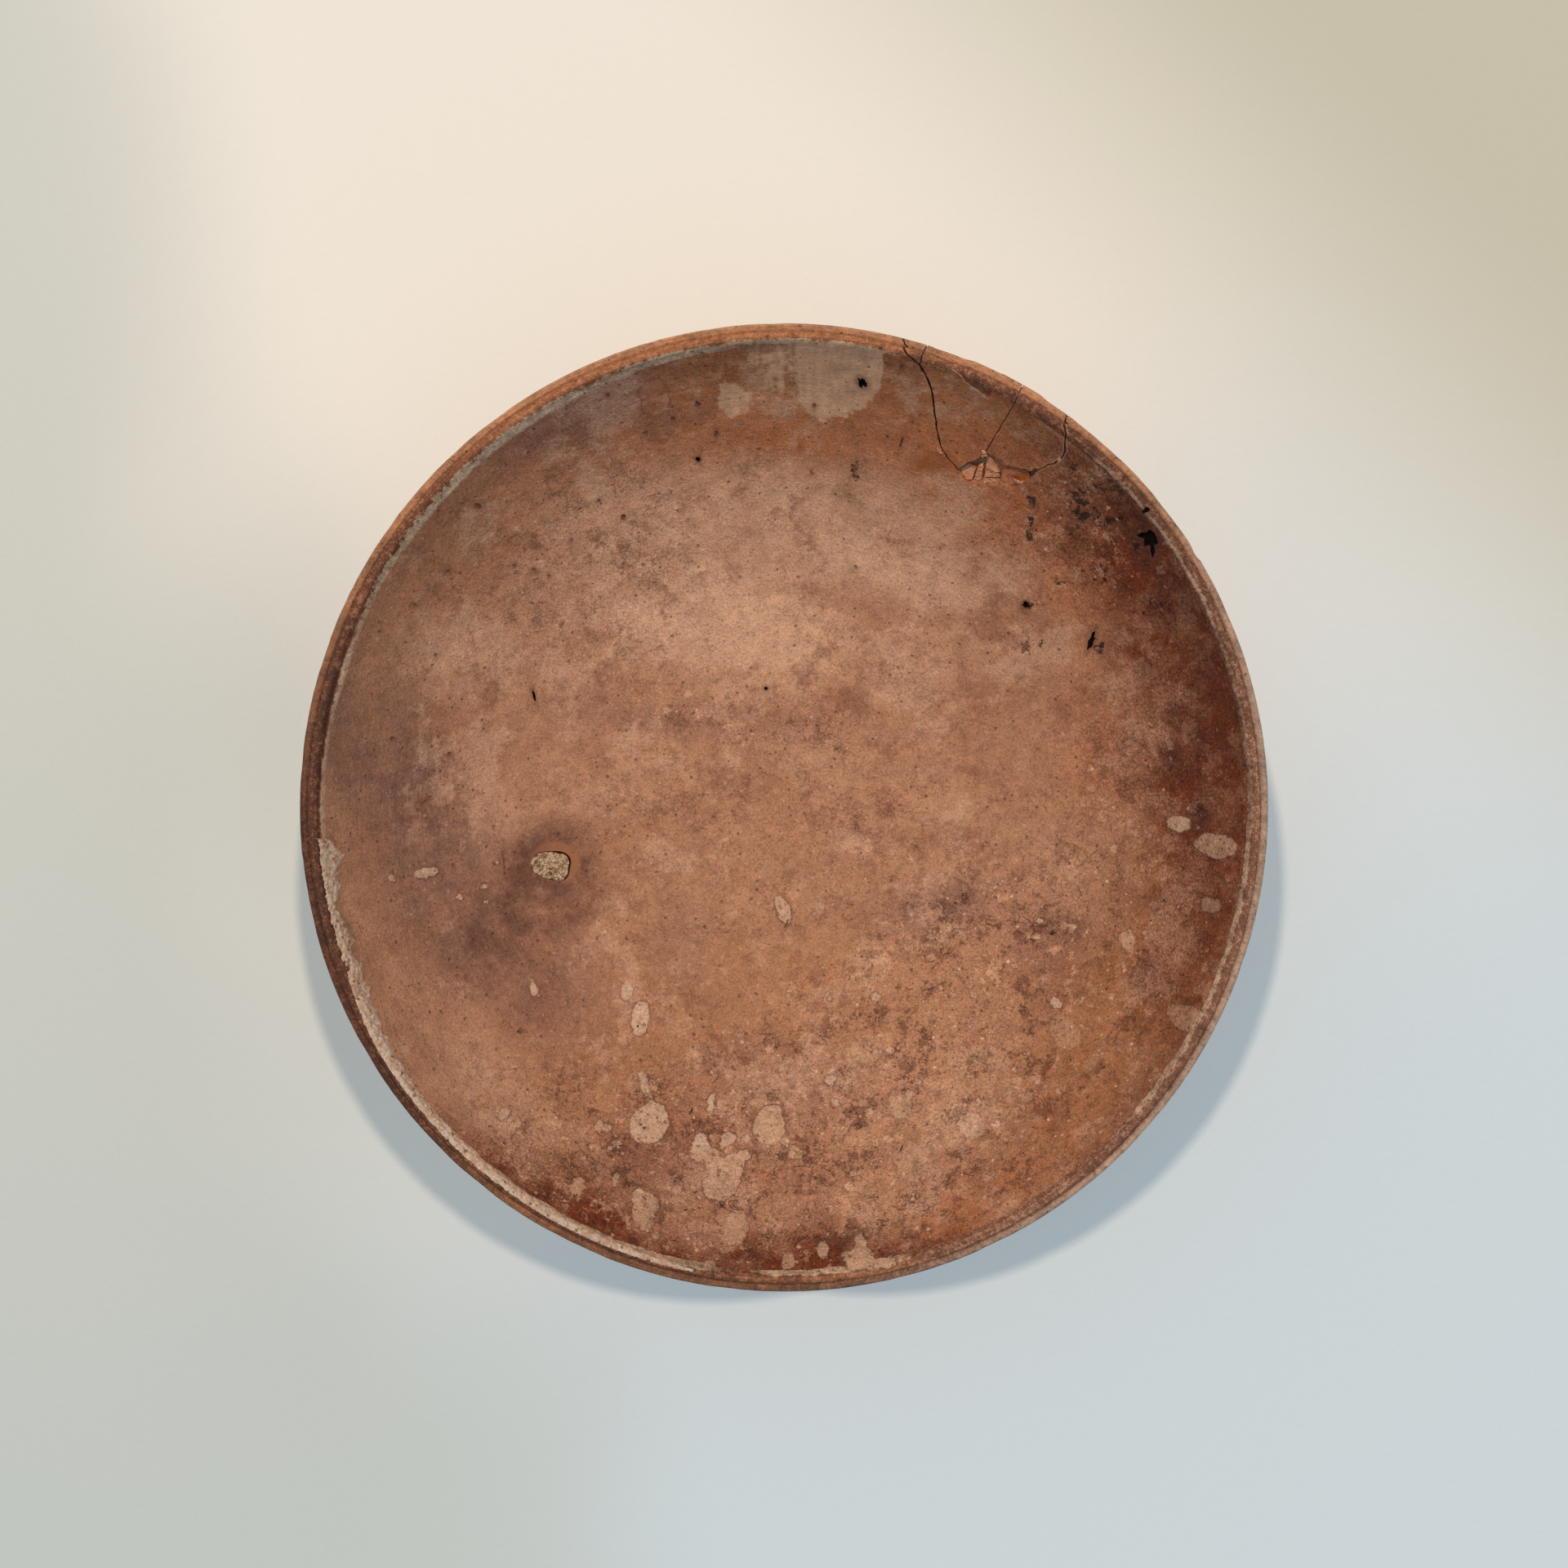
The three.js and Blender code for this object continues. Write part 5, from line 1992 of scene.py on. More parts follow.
@dataclass
class Desk:
    """Lays out the nodes of one tree.

    Attributes:
        tree: The tree.
    """

    tree: Tree

    def node(self, kind: str, **settings: object) -> Node:
        """Adds a node.

        Args:
            kind: Its type.
            **settings: Its settings, by name.

        Returns:
            The node.
        """
        made = self.tree.nodes.new(kind)
        for name, value in settings.items():
            setattr(made, name, value)
        return made

    def feed(self, socket: Socket, value: Value) -> None:
        """Links a socket to an output, or sets it to a number or a colour."""
        if isinstance(value, Socket):
            self.tree.links.new(value, socket)
        elif isinstance(value, tuple):
            socket.default_value = (*value, 1.0)[:len(socket.default_value)]
        else:
            socket.default_value = value

    def fed(self, kind: str, *values: Value, **settings: object) -> Node:
        """Adds a node and feeds its first inputs in order."""
        made = self.node(kind, **settings)
        for socket, value in zip(made.inputs, values):
            self.feed(socket, value)
        return made

    def math(self, how: str, *values: Value) -> Socket:
        """Works out a number, by Blender's name for the operation."""
        return self.fed("ShaderNodeMath", *values, operation=how).outputs[0]

    def sum(self, *terms: Term) -> Socket:
        """Adds up numbers, each alone or in a pair with its factor."""
        total, *others = (self.scaled(*term) if isinstance(term, tuple) else term for term in terms)
        for value in others:
            total = self.math("ADD", total, value)
        return total

    def times(self, *values: Value) -> Socket:
        """Multiplies several numbers."""
        total = values[0]
        for value in values[1:]:
            total = self.math("MULTIPLY", total, value)
        return total

    def scaled(self, value: Value, scale: float, offset: float = 0.0) -> Socket:
        """Scales a number and adds to it."""
        return self.math("MULTIPLY_ADD", value, scale, offset)

    def smooth(self, value: Value, low: float, high: float) -> Socket:
        """Rises smoothly from 0 where value is low to 1 where it is high."""
        values = (value, low, high, 0.0, 1.0)
        return self.fed("ShaderNodeMapRange", *values, interpolation_type="SMOOTHSTEP").outputs[0]

    def blend(self, share: Value, first: Value, second: Value, how: str = "MIX") -> Socket:
        """Mixes two colours.

        Args:
            share: Share of the second.
            first, second: A colour.
            how: Blender's name for the way of mixing.

        Returns:
            The mixed colour.
        """
        made = self.node("ShaderNodeMix", data_type="RGBA", blend_type=how)
        self.feed(made.inputs[0], share)
        self.feed(made.inputs[6], first)
        self.feed(made.inputs[7], second)
        return made.outputs[2]

    def stretched(self, vector: Value, scale: Value) -> Socket:
        """Scales a vector or a colour."""
        made = self.fed("ShaderNodeVectorMath", vector, operation="SCALE")
        self.feed(made.inputs["Scale"], scale)
        return made.outputs[0]

    def tone(self, colour: Value, *changes: Term) -> Socket:
        """Makes a colour lighter or darker by shares of itself."""
        return self.stretched(colour, self.sum(1.0, *changes))

    def split(self, vector: Socket) -> tuple[Socket, ...]:
        """Gives the three parts of a vector."""
        return tuple(self.fed("ShaderNodeSeparateXYZ", vector).outputs)

    def noise(self, vector: Socket, length: float, detail: float = 2.0, rough: float = 0.55) -> Socket:
        """Gives soft noise round 0.

        Args:
            vector: Position, mm.
            length: Size of its patches, mm.
            detail: How many finer layers it has.
            rough: How strong they are.

        Returns:
            Values mostly between -0.6 and 0.6.
        """
        shift, scale = 31.7 + 13.1 * length, (1.0 / length,) * 3
        shifts = (shift, 0.7 * shift, -0.4 * shift)
        place = self.fed("ShaderNodeVectorMath", vector, scale, shifts, operation="MULTIPLY_ADD")
        made = self.node("ShaderNodeTexNoise")
        for name, value in (
            ("Vector", place.outputs[0]), ("Scale", 1.0), ("Detail", detail), ("Roughness", rough),
        ):
            self.feed(made.inputs[name], value)
        return self.scaled(made.outputs[0], 2.0, -1.0)

    def mark(self, name: str) -> Socket:
        """Reads a mark that SurfaceMap has kept in the mesh."""
        return self.node("ShaderNodeAttribute", attribute_name=name).outputs["Fac"]

    def position(self) -> Socket:
        """Gives the position on the piece, mm."""
        return self.stretched(self.node("ShaderNodeTexCoord").outputs["Object"], 1.0 / MM)

    def group(self, tree: Tree, **values: Value) -> Node:
        """Adds a node group and feeds its inputs, by name."""
        made = self.node("ShaderNodeGroup")
        made.node_tree = tree
        for name, value in values.items():
            self.feed(made.inputs[name], value)
        return made


@dataclass
class ShaderGroups:
    """The effects that several materials share, each built once as a node group."""

    grain: Tree = field(init=False)
    specks: Tree = field(init=False)
    wheel_lines: Tree = field(init=False)

    def __post_init__(self) -> None:
        """Builds the groups."""
        self.grain = self.build_grain()
        self.specks = self.build_specks()
        self.wheel_lines = self.build_wheel_lines()

    @staticmethod
    def start(name: str, inputs: dict[str, str], outputs: Sequence[str]) -> tuple[Desk, Node, Node]:
        """Starts a group.

        Args:
            name: Its name.
            inputs: Kind of each input, by name.
            outputs: Names of its outputs, all plain numbers.

        Returns:
            Its desk, and the nodes that hold its inputs and its outputs.
        """
        tree = bpy.data.node_groups.new(name, "ShaderNodeTree")
        for label, kind in inputs.items():
            tree.interface.new_socket(label, in_out="INPUT", socket_type="NodeSocket" + kind)
        for label in outputs:
            tree.interface.new_socket(label, in_out="OUTPUT", socket_type="NodeSocketFloat")
        desk = Desk(tree)
        return desk, desk.node("NodeGroupInput"), desk.node("NodeGroupOutput")

    def build_grain(self) -> Tree:
        """Builds unevenness of four sizes, and the fine relief of fired clay."""
        desk, given, result = self.start(
            "fired_grain", {"Vector": "Vector"}, ("Cloud", "Patch", "Fine", "Grit", "Height")
        )
        vector = given.outputs["Vector"]
        cloud = desk.noise(vector, 26.0, 3.0, 0.6)
        patch = desk.noise(vector, 5.5, 3.0, 0.6)
        fine = desk.noise(vector, 1.5, 3.0, 0.65)
        grit = desk.noise(vector, 0.45, 2.0, 0.6)
        height = desk.sum((fine, 0.10), (grit, 0.05))
        for name, value in (
            ("Cloud", cloud), ("Patch", patch), ("Fine", fine), ("Grit", grit), ("Height", height),
        ):
            desk.feed(result.inputs[name], value)
        return desk.tree

    def build_specks(self) -> Tree:
        """Builds scattered round specks, of which a share of the cells holds one."""
        desk, given, result = self.start(
            "specks", {"Vector": "Vector", "Cell": "Float", "Size": "Float", "Share": "Float"}, ("Mask",)
        )
        warp = desk.noise(given.outputs["Vector"], 0.7, 1.0)
        cells = desk.node("ShaderNodeTexVoronoi")
        place = desk.stretched(given.outputs["Vector"], desk.math("DIVIDE", 1.0, given.outputs["Cell"]))
        desk.feed(cells.inputs["Vector"], place)
        desk.feed(cells.inputs["Scale"], 1.0)
        parts = desk.fed("ShaderNodeSeparateColor", cells.outputs["Color"])
        reach = desk.times(cells.outputs["Distance"], given.outputs["Cell"])
        radius = desk.times(given.outputs["Size"], desk.scaled(parts.outputs[1], 0.8, 0.35))
        radius = desk.times(radius, desk.scaled(warp, 0.8, 1.0))
        within = desk.math("SUBTRACT", radius, reach)
        mask = desk.times(
            desk.smooth(within, -0.06, 0.10),
            desk.math("LESS_THAN", parts.outputs[0], given.outputs["Share"]),
        )
        desk.feed(result.inputs["Mask"], mask)
        return desk.tree

    def build_wheel_lines(self) -> Tree:
        """Builds fine lines that run round the bowl, as a tool leaves on the wheel."""
        desk, given, result = self.start(
            "wheel_lines", {"Vector": "Vector", "Across": "Float", "Spacing": "Float"}, ("Lines",)
        )
        x, y, _ = desk.split(given.outputs["Vector"])
        flat = desk.fed("ShaderNodeCombineXYZ", x, y)
        turned = desk.fed("ShaderNodeVectorMath", flat.outputs[0], operation="NORMALIZE")
        x, y, _ = desk.split(turned.outputs[0])
        line = desk.math("DIVIDE", given.outputs["Across"], given.outputs["Spacing"])
        joined = desk.fed("ShaderNodeCombineXYZ", desk.scaled(x, 2.2), desk.scaled(y, 2.2), line)
        desk.feed(result.inputs["Lines"], desk.noise(joined.outputs[0], 1.0, 3.0, 0.6))
        return desk.tree


@dataclass
class ClayDesk(Desk):
    """A desk with the position and the grain that its material's layers share."""

    groups: ShaderGroups

    @cached_property
    def vector(self) -> Socket:
        """Position on the piece, mm."""
        return self.position()

    @cached_property
    def grain(self) -> Node:
        """The node of the shared grain."""
        return self.group(self.groups.grain, Vector=self.vector)

    def grains(self, *names: str) -> tuple[Socket, ...]:
        """Gives some outputs of the shared grain."""
        return tuple(self.grain.outputs[name] for name in names)

    def specks(self, cell: float, size: float, share: float) -> Socket:
        """Adds specks, and gives their mask."""
        made = self.group(self.groups.specks, Vector=self.vector, Cell=cell, Size=size, Share=share)
        return made.outputs[0]

    def wheel(self, across: Socket, spacing: float) -> Socket:
        """Adds wheel lines."""
        made = self.group(self.groups.wheel_lines, Vector=self.vector, Across=across, Spacing=spacing)
        return made.outputs[0]


@dataclass(frozen=True)
class SurfaceFinish:
    """A material that a Principled shader shows.

    Attributes:
        name: Name of the material.
        groups: The shared node groups.
    """

    name: str
    groups: ShaderGroups

    def make(self) -> Material:
        """Builds the material."""
        material = bpy.data.materials.new(self.name)
        material.use_nodes = True
        desk = ClayDesk(material.node_tree, self.groups)
        shader = material.node_tree.nodes["Principled BSDF"]
        colour, roughness, height = self.look(desk, shader)
        desk.feed(shader.inputs["Base Color"], colour)
        desk.feed(shader.inputs["Roughness"], roughness)
        bump = desk.node("ShaderNodeBump")
        desk.feed(bump.inputs["Distance"], MM)
        desk.feed(bump.inputs["Height"], height)
        desk.feed(shader.inputs["Normal"], bump.outputs[0])
        return material

    def look(self, desk: ClayDesk, shader: Node) -> tuple[Value, Value, Socket]:
        """Lays out what the material shows."""
        raise NotImplementedError


@dataclass(frozen=True)
class FiredClay(SurfaceFinish):
    """The bowl's skin: inside, lip and outside, with all its stains, and painted sheen, highlights and
    shadows in places.
    """

    base: Colour = srgb(166, 113, 82)
    base_light: Colour = srgb(180, 127, 95)
    film: Colour = srgb(200, 152, 122)
    brown: Colour = srgb(140, 88, 62)
    tints: tuple[tuple[Tint, Colour], ...] = (
        (Tint.PALE, srgb(208, 159, 127)),
        (Tint.ORANGE, srgb(178, 106, 64)),
        (Tint.PURPLE_AND_SHEEN, srgb(132, 90, 74)),
        (Tint.OCHRE, srgb(158, 100, 60)),
        (Tint.RED, srgb(110, 46, 14)),
        (Tint.UMBER, srgb(70, 34, 18)),
        (Tint.HALO, srgb(102, 60, 43)),
    )
    mottle_and_shadow: Colour = srgb(104, 58, 40)
    mottle_light: Colour = srgb(200, 147, 114)
    speck_dark: Colour = srgb(66, 34, 24)
    speck_and_highlight: Colour = srgb(214, 166, 134)
    soot: Colour = srgb(22, 10, 6)
    splash_clay: Colour = srgb(206, 158, 124)
    splash_lime: Colour = srgb(224, 190, 162)
    wash: Colour = srgb(210, 160, 124)
    amber: Colour = srgb(150, 80, 34)
    rust: Colour = srgb(160, 92, 50)
    ring: Colour = srgb(160, 100, 64)
    scar: Colour = srgb(112, 58, 38)
    chipped: Colour = srgb(172, 114, 84)
    lip_lime: Colour = srgb(196, 162, 132)
    lip_dark: Colour = srgb(82, 42, 23)
    lip_orange: Colour = srgb(190, 130, 90)
    lip_grey: Colour = srgb(170, 136, 114)
    lip_worn: Colour = srgb(176, 122, 86)
    band: Colour = srgb(124, 70, 42)
    band_warm: Colour = srgb(160, 94, 54)
    outside: Colour = srgb(160, 108, 80)
    outside_dark: Colour = srgb(110, 66, 46)

    def look(self, desk: ClayDesk, shader: Node) -> tuple[Value, Value, Socket]:
        """Lays out the clay of the inside, the lip and the outside."""
        fine, height = desk.grains("Fine", "Height")
        x, y, z = desk.split(desk.vector)
        flat = desk.fed("ShaderNodeCombineXYZ", x, y)
        length = desk.fed("ShaderNodeVectorMath", flat.outputs[0], operation="LENGTH")
        across = desk.sum(length.outputs["Value"], z)
        wide, thin = desk.wheel(across, 1.7), desk.wheel(across, 0.5)
        lines = desk.sum((wide, 0.6), (thin, 0.6))
        inner, inner_height = self.inside(desk, lines)
        outer = self.outer(desk, lines)
        colour = desk.blend(desk.mark("inside"), outer, inner)
        colour = self.lip(desk, thin, colour)
        colour, splash_height = self.deposits(desk, colour)
        pore = desk.specks(2.2, 0.32, 0.6)
        dot = desk.specks(1.2, 0.26, 0.3)
        colour = desk.blend(desk.scaled(pore, 0.55), colour, self.speck_dark)
        colour = desk.blend(desk.scaled(dot, 0.4), colour, self.speck_dark)
        roughness = desk.sum(0.68, (fine, 0.14), (desk.mark("purple_and_sheen"), -0.10))
        height = desk.sum(height, (lines, 0.05), inner_height, splash_height, (pore, -0.16))
        shader.inputs["Specular IOR Level"].default_value = 0.35
        return colour, roughness, height

    def inside(self, desk: ClayDesk, lines: Socket) -> tuple[Socket, Socket]:
        """Lays out the inside's ground, its tints and its mottling.

        Args:
            desk: Where the nodes go.
            lines: Wheel lines.

        Returns:
            The colour, and the height that goes with it.
        """
        vector = desk.vector
        cloud, patch, fine, grit = desk.grains("Cloud", "Patch", "Fine", "Grit")
        ground = desk.smooth(desk.sum(cloud, (patch, 0.5)), -0.5, 0.5)
        colour = desk.blend(ground, self.base, self.base_light)
        stray = desk.sum(1.0, cloud, patch, (fine, 0.4))
        for tint, shade in self.tints:
            share = desk.math("MINIMUM", desk.times(desk.mark(tint.value), stray), 1.0)
            colour = desk.blend(share, colour, shade)
        deep = desk.mark("red")
        mottle = desk.mark("mottle")
        still = desk.scaled(desk.mark("halo"), -0.9, 1.0)
        calm = desk.times(desk.scaled(deep, -0.82, 1.0), still)
        busy = desk.times(desk.sum(1.0, (deep, -0.8), desk.times(deep, mottle, 0.6)), still)
        dust = desk.sum(desk.noise(vector, 24.0, 9.0, 0.74), (desk.mark("pale"), 0.12))
        share = desk.times(desk.smooth(dust, 0.02, 0.2), calm, 0.6)
        colour = desk.blend(share, colour, self.film)
        stain = desk.noise(vector, 15.0, 9.0, 0.76)
        colour = desk.blend(desk.times(desk.smooth(stain, 0.04, 0.28), calm, 0.65), colour, self.brown)
        some = desk.scaled(mottle, 0.75, 0.25)
        clump = desk.noise(vector, 9.0, 3.0)
        spots = desk.sum(desk.noise(vector, 2.8, 7.0, 0.80), (clump, 0.48))
        flecks = desk.sum(desk.noise(vector, 2.6, 7.0, 0.78), (clump, -0.5))
        dark = desk.times(some, desk.smooth(spots, 0.09, 0.27))
        light = desk.times(some, busy, desk.smooth(flecks, 0.10, 0.25))
        veins = desk.math("ABSOLUTE", desk.noise(vector, 4.4, 5.0, 0.6))
        veins = desk.times(desk.smooth(veins, 0.03, 0.0), desk.smooth(clump, -0.05, 0.2), some)
        colour = desk.blend(desk.scaled(dark, 0.66), colour, self.mottle_and_shadow)
        colour = desk.blend(desk.scaled(light, 0.72), colour, self.mottle_light)
        colour = desk.blend(desk.scaled(veins, 0.75), colour, self.speck_dark)
        freckle = desk.smooth(desk.noise(vector, 1.5, 4.0, 0.65), 0.22, 0.34)
        colour = desk.blend(desk.times(freckle, desk.scaled(mottle, 0.4, 0.35)), colour, self.mottle_and_shadow)
        large = desk.specks(4.6, 1.0, 0.3)
        small = desk.specks(2.1, 0.42, 0.5)
        bright = desk.sum(desk.times(large, mottle, 0.8), desk.times(small, desk.scaled(mottle, 0.8, 0.25)))
        bright = desk.times(desk.math("MINIMUM", bright, 0.95), busy)
        colour = desk.blend(bright, colour, self.speck_and_highlight)
        line_share = desk.sum(0.05, (desk.mark("purple_and_sheen"), 0.36), (deep, 0.24))
        blotch = desk.noise(vector, 3.6, 8.0, 0.82)
        speckle = desk.sum(0.55, (mottle, 0.35), (deep, 0.4))
        colour = desk.tone(
            colour, desk.times(lines, line_share), desk.times(blotch, speckle),
            desk.times(grit, desk.sum(0.62, (deep, 0.75), (mottle, 0.25))),
        )
        sooty = desk.scaled(desk.mark("sooty"), 0.68, -0.62)
        black = desk.smooth(desk.sum(desk.noise(vector, 1.9, 5.0, 0.7), sooty), 0.0, 0.07)
        colour = desk.blend(desk.scaled(black, 0.9), colour, self.soot)
        height = desk.sum(
            (dark, -0.07), (light, 0.06), (bright, 0.14),
            (veins, -0.14), (blotch, 0.12), (black, -0.12),
        )
        return colour, height

    def outer(self, desk: ClayDesk, lines: Socket) -> Socket:
        """Lays out the outside, with its throwing lines and scuffs.

        Args:
            desk: Where the nodes go.
            lines: Wheel lines.

        Returns:
            The colour.
        """
        cloud, patch, fine, grit = desk.grains("Cloud", "Patch", "Fine", "Grit")
        dark = desk.smooth(desk.sum(cloud, patch), -0.1, 0.8)
        colour = desk.blend(desk.scaled(dark, 0.7), self.outside, self.outside_dark)
        return desk.tone(colour, (lines, 0.22), (fine, 0.2), (grit, 0.12))

    def deposits(self, desk: ClayDesk, colour: Socket) -> tuple[Socket, Socket]:
        """Lays wash, stains and splashes over the clay, with painted highlights and shadows at the edges of
        the splashes and of the flake scar.

        Args:
            desk: Where the nodes go.
            colour: The clay's colour so far.

        Returns:
            The new colour, and the splashes' height.
        """
        vector = desk.vector
        patch, fine, grit = desk.grains("Patch", "Fine", "Grit")
        stray = desk.sum(1.0, (patch, 0.9), (fine, 0.5))
        wash = desk.mark("wash")
        drawn = desk.fed("ShaderNodeVectorMath", vector, (1.0, 0.16, 0.16), operation="MULTIPLY")
        streak = desk.noise(drawn.outputs[0], 1.5, 4.0, 0.6)
        thin = desk.times(desk.smooth(wash, 0.8, 0.6), 1.3)
        cloudy = desk.sum((patch, 1.2), (streak, 0.8), (fine, 0.5))
        wash = desk.sum(wash, desk.times(cloudy, thin, wash), (fine, 0.10))
        share = desk.math("MINIMUM", desk.times(desk.smooth(wash, 0.12, 1.0), 0.92), 0.92)
        shade = desk.tone(self.wash, (fine, 0.3), (streak, 0.35), (patch, 0.3))
        colour = desk.blend(share, colour, shade)
        for name, shade, most in (
            ("rust", self.rust, 0.8), ("amber", self.amber, 0.85), ("ring", self.ring, 0.8),
            ("soot", self.mottle_and_shadow, 0.7),
        ):
            share = desk.math("MINIMUM", desk.times(desk.mark(name), stray, most), 1.0)
            colour = desk.blend(share, colour, shade)
        hoop = desk.sum(desk.mark("scar_ring"), (fine, 0.5))
        edge = desk.times(desk.smooth(hoop, -0.55, -0.1), desk.smooth(hoop, 0.35, -0.05))
        colour = desk.blend(desk.scaled(edge, 0.38), colour, self.mottle_and_shadow)
        past = desk.sum(desk.mark("scar"), (fine, 0.25))
        shade = desk.tone(self.scar, (patch, 0.5), (fine, 0.3))
        inside = desk.times(desk.smooth(past, -0.05, 0.1), desk.smooth(past, 1.4, 0.2))
        colour = desk.blend(desk.scaled(inside, 0.7), colour, shade)
        # A pale line along the flake scar's edge: a painted highlight on the step.
        edge = desk.times(desk.smooth(past, -0.3, -0.1), desk.smooth(past, 0.06, -0.02))
        colour = desk.blend(desk.scaled(edge, 0.5), colour, self.speck_and_highlight)
        chips = desk.smooth(desk.sum(desk.mark("chipped"), (fine, 1.1)), 0.5, 0.75)
        colour = desk.blend(desk.scaled(chips, 0.8), colour, self.chipped)
        reach = desk.sum(desk.mark("splash"), (patch, 0.8), (fine, 0.75))
        body = desk.times(desk.smooth(reach, -0.08, 0.22), desk.mark("cover"))
        shade = desk.blend(desk.mark("paleness"), self.splash_clay, self.splash_lime)
        tex = desk.noise(vector, 1.7, 5.0, 0.72)
        thin = desk.times(desk.smooth(tex, 0.0, 0.26), desk.smooth(reach, 0.3, 0.9))
        shade = desk.blend(desk.scaled(thin, 0.42), shade, self.base)
        # A pale band inside each splash's edge, where its texture stands up: a painted highlight.
        bright = desk.times(desk.smooth(reach, 0.75, 0.25), desk.smooth(tex, 0.1, -0.25))
        shade = desk.blend(desk.scaled(bright, 0.6), shade, self.speck_and_highlight)
        # The splash darkens where its texture sinks the surface: painted shade in its hollows.
        shade = desk.tone(shade, (tex, -0.42), (grit, 0.6))
        hole = desk.specks(1.6, 0.42, 0.6)
        shade = desk.blend(desk.scaled(hole, 0.6), shade, self.mottle_and_shadow)
        # A dark line along each splash's edge: a painted shadow of the raised splash.
        rim = desk.times(desk.smooth(reach, -0.4, -0.1), desk.smooth(reach, 0.12, -0.05))
        rim = desk.times(rim, desk.mark("cover"), desk.smooth(patch, -0.3, 0.3))
        colour = desk.blend(desk.scaled(rim, 0.75), colour, self.mottle_and_shadow)
        colour = desk.blend(body, colour, shade)
        height = desk.sum(
            (body, 0.24), desk.times(hole, body, -0.26), desk.times(tex, body, -0.42),
            desk.times(bright, body, 0.06),
        )
        return colour, height

    def lip(self, desk: ClayDesk, thin: Socket, colour: Socket) -> Socket:
        """Lays out the lip: its band, the dark groove, the worn bead and the line of lime.

        Args:
            desk: Where the nodes go.
            thin: The finer wheel lines.
            colour: The clay's colour so far.

        Returns:
            The new colour.
        """
        patch, fine, grit = desk.grains("Patch", "Fine", "Grit")
        wear = ((patch, 0.6), (fine, 0.7), (thin, 0.45), (grit, 0.5))
        crumbs = desk.specks(0.9, 0.34, 0.5)
        worn = desk.smooth(desk.sum(fine, grit, (patch, 0.3), (thin, 0.5)), 0.0, 0.3)
        worn = desk.times(desk.sum(worn, crumbs), desk.scaled(desk.mark("band_dark"), -0.6, 1.0))
        worn = desk.math("MINIMUM", worn, 1.0)
        tan = desk.blend(desk.mark("rim_grey"), self.lip_worn, self.lip_grey)
        band = desk.blend(desk.mark("rim_warm"), self.band, self.band_warm)
        band = desk.blend(desk.scaled(desk.mark("rim_grey"), 0.10), band, self.lip_grey)
        band = desk.blend(desk.mark("band_dark"), band, self.lip_dark)
        band = desk.blend(desk.scaled(worn, 0.45), band, tan)
        colour = desk.blend(desk.mark("band"), colour, desk.tone(band, *wear))
        bead = desk.blend(desk.mark("rim_grey"), self.lip_orange, self.lip_grey)
        bead = desk.blend(desk.mark("rim_dark"), bead, self.lip_dark)
        bead = desk.blend(desk.times(worn, 0.28), bead, tan)
        dust = desk.specks(1.1, 0.3, 0.35)
        bead = desk.blend(desk.scaled(dust, 0.5), bead, self.lip_dark)
        colour = desk.blend(desk.mark("bead"), colour, desk.tone(bead, *wear))
        groove = desk.times(desk.mark("groove"), desk.sum(0.18, (patch, 0.8)))
        colour = desk.blend(groove, colour, self.lip_dark)
        reach = desk.sum(desk.mark("lime"), (fine, 1.1), (patch, 0.7))
        lime = desk.tone(self.lip_lime, (fine, 1.0), (grit, 0.8), (patch, 0.5))
        lime = desk.blend(desk.scaled(crumbs, 0.5), lime, self.band)
        share = desk.times(desk.smooth(reach, 0.05, 0.4), desk.mark("lime_cover"))
        return desk.blend(share, colour, lime)


@dataclass(frozen=True)
class RoughFinish(SurfaceFinish):
    """A rough mineral material of two colours with pores.

    Attributes:
        first: Its main colour.
        second: The colour of its other patches.
        pore: The colour in its pores.
        pore_size: Size of the pores, mm.
        pore_share: Share of the places that have one.
        contrast: How strongly its grain shows.
        roughness: Its roughness.
        coat: How glossy a film lies over it.
        shine: How strongly it reflects.
        split: How softly its patches run together.
    """

    first: Colour
    second: Colour
    pore: Colour
    pore_size: float = 0.3
    pore_share: float = 0.4
    contrast: float = 0.25
    roughness: float = 0.75
    coat: float = 0.0
    shine: float = 0.35
    split: float = 0.35

    def look(self, desk: ClayDesk, shader: Node) -> tuple[Value, Value, Socket]:
        """Lays out the patches, the grain and the pores."""
        fine, grit, rough = desk.grains("Fine", "Grit", "Height")
        share = desk.smooth(desk.sum(fine, (grit, 0.6)), -self.split, self.split)
        colour = desk.tone(
            desk.blend(share, self.first, self.second), (fine, self.contrast),
            (grit, self.contrast),
        )
        pore = desk.specks(self.pore_size * 3.4, self.pore_size, self.pore_share)
        colour = desk.blend(desk.scaled(pore, 0.8), colour, self.pore)
        shader.inputs["Specular IOR Level"].default_value = self.shine
        shader.inputs["Coat Weight"].default_value = self.coat
        shader.inputs["Coat Roughness"].default_value = 0.12
        height = desk.sum((rough, 1.6), (pore, -0.5 * self.pore_size))
        return colour, desk.sum(self.roughness, (fine, 0.15)), height


@dataclass(frozen=True)
class GluePool(SurfaceFinish):
    """Hardened glue: clear or amber, glossy, with dirt in it.

    Attributes:
        thin: Its colour where it is thin.
        thick: Its colour where it is thick.
        gloss: Its roughness.
    """

    thin: Colour
    thick: Colour
    gloss: float = 0.08

    def look(self, desk: ClayDesk, shader: Node) -> tuple[Value, Value, Socket]:
        """Lays out the glue's clouds and its smooth, slightly wavy top."""
        fine, patch = desk.grains("Fine", "Patch")
        colour = desk.blend(desk.smooth(desk.sum(fine, patch), -0.5, 0.5), self.thin, self.thick)
        dust = desk.specks(0.9, 0.14, 0.4)
        colour = desk.blend(desk.scaled(dust, 0.4), colour, self.thick)
        shader.inputs["Coat Weight"].default_value = 0.6
        shader.inputs["Coat Roughness"].default_value = 0.12
        return colour, desk.sum(self.gloss, (dust, 0.2)), desk.scaled(fine, 0.05)


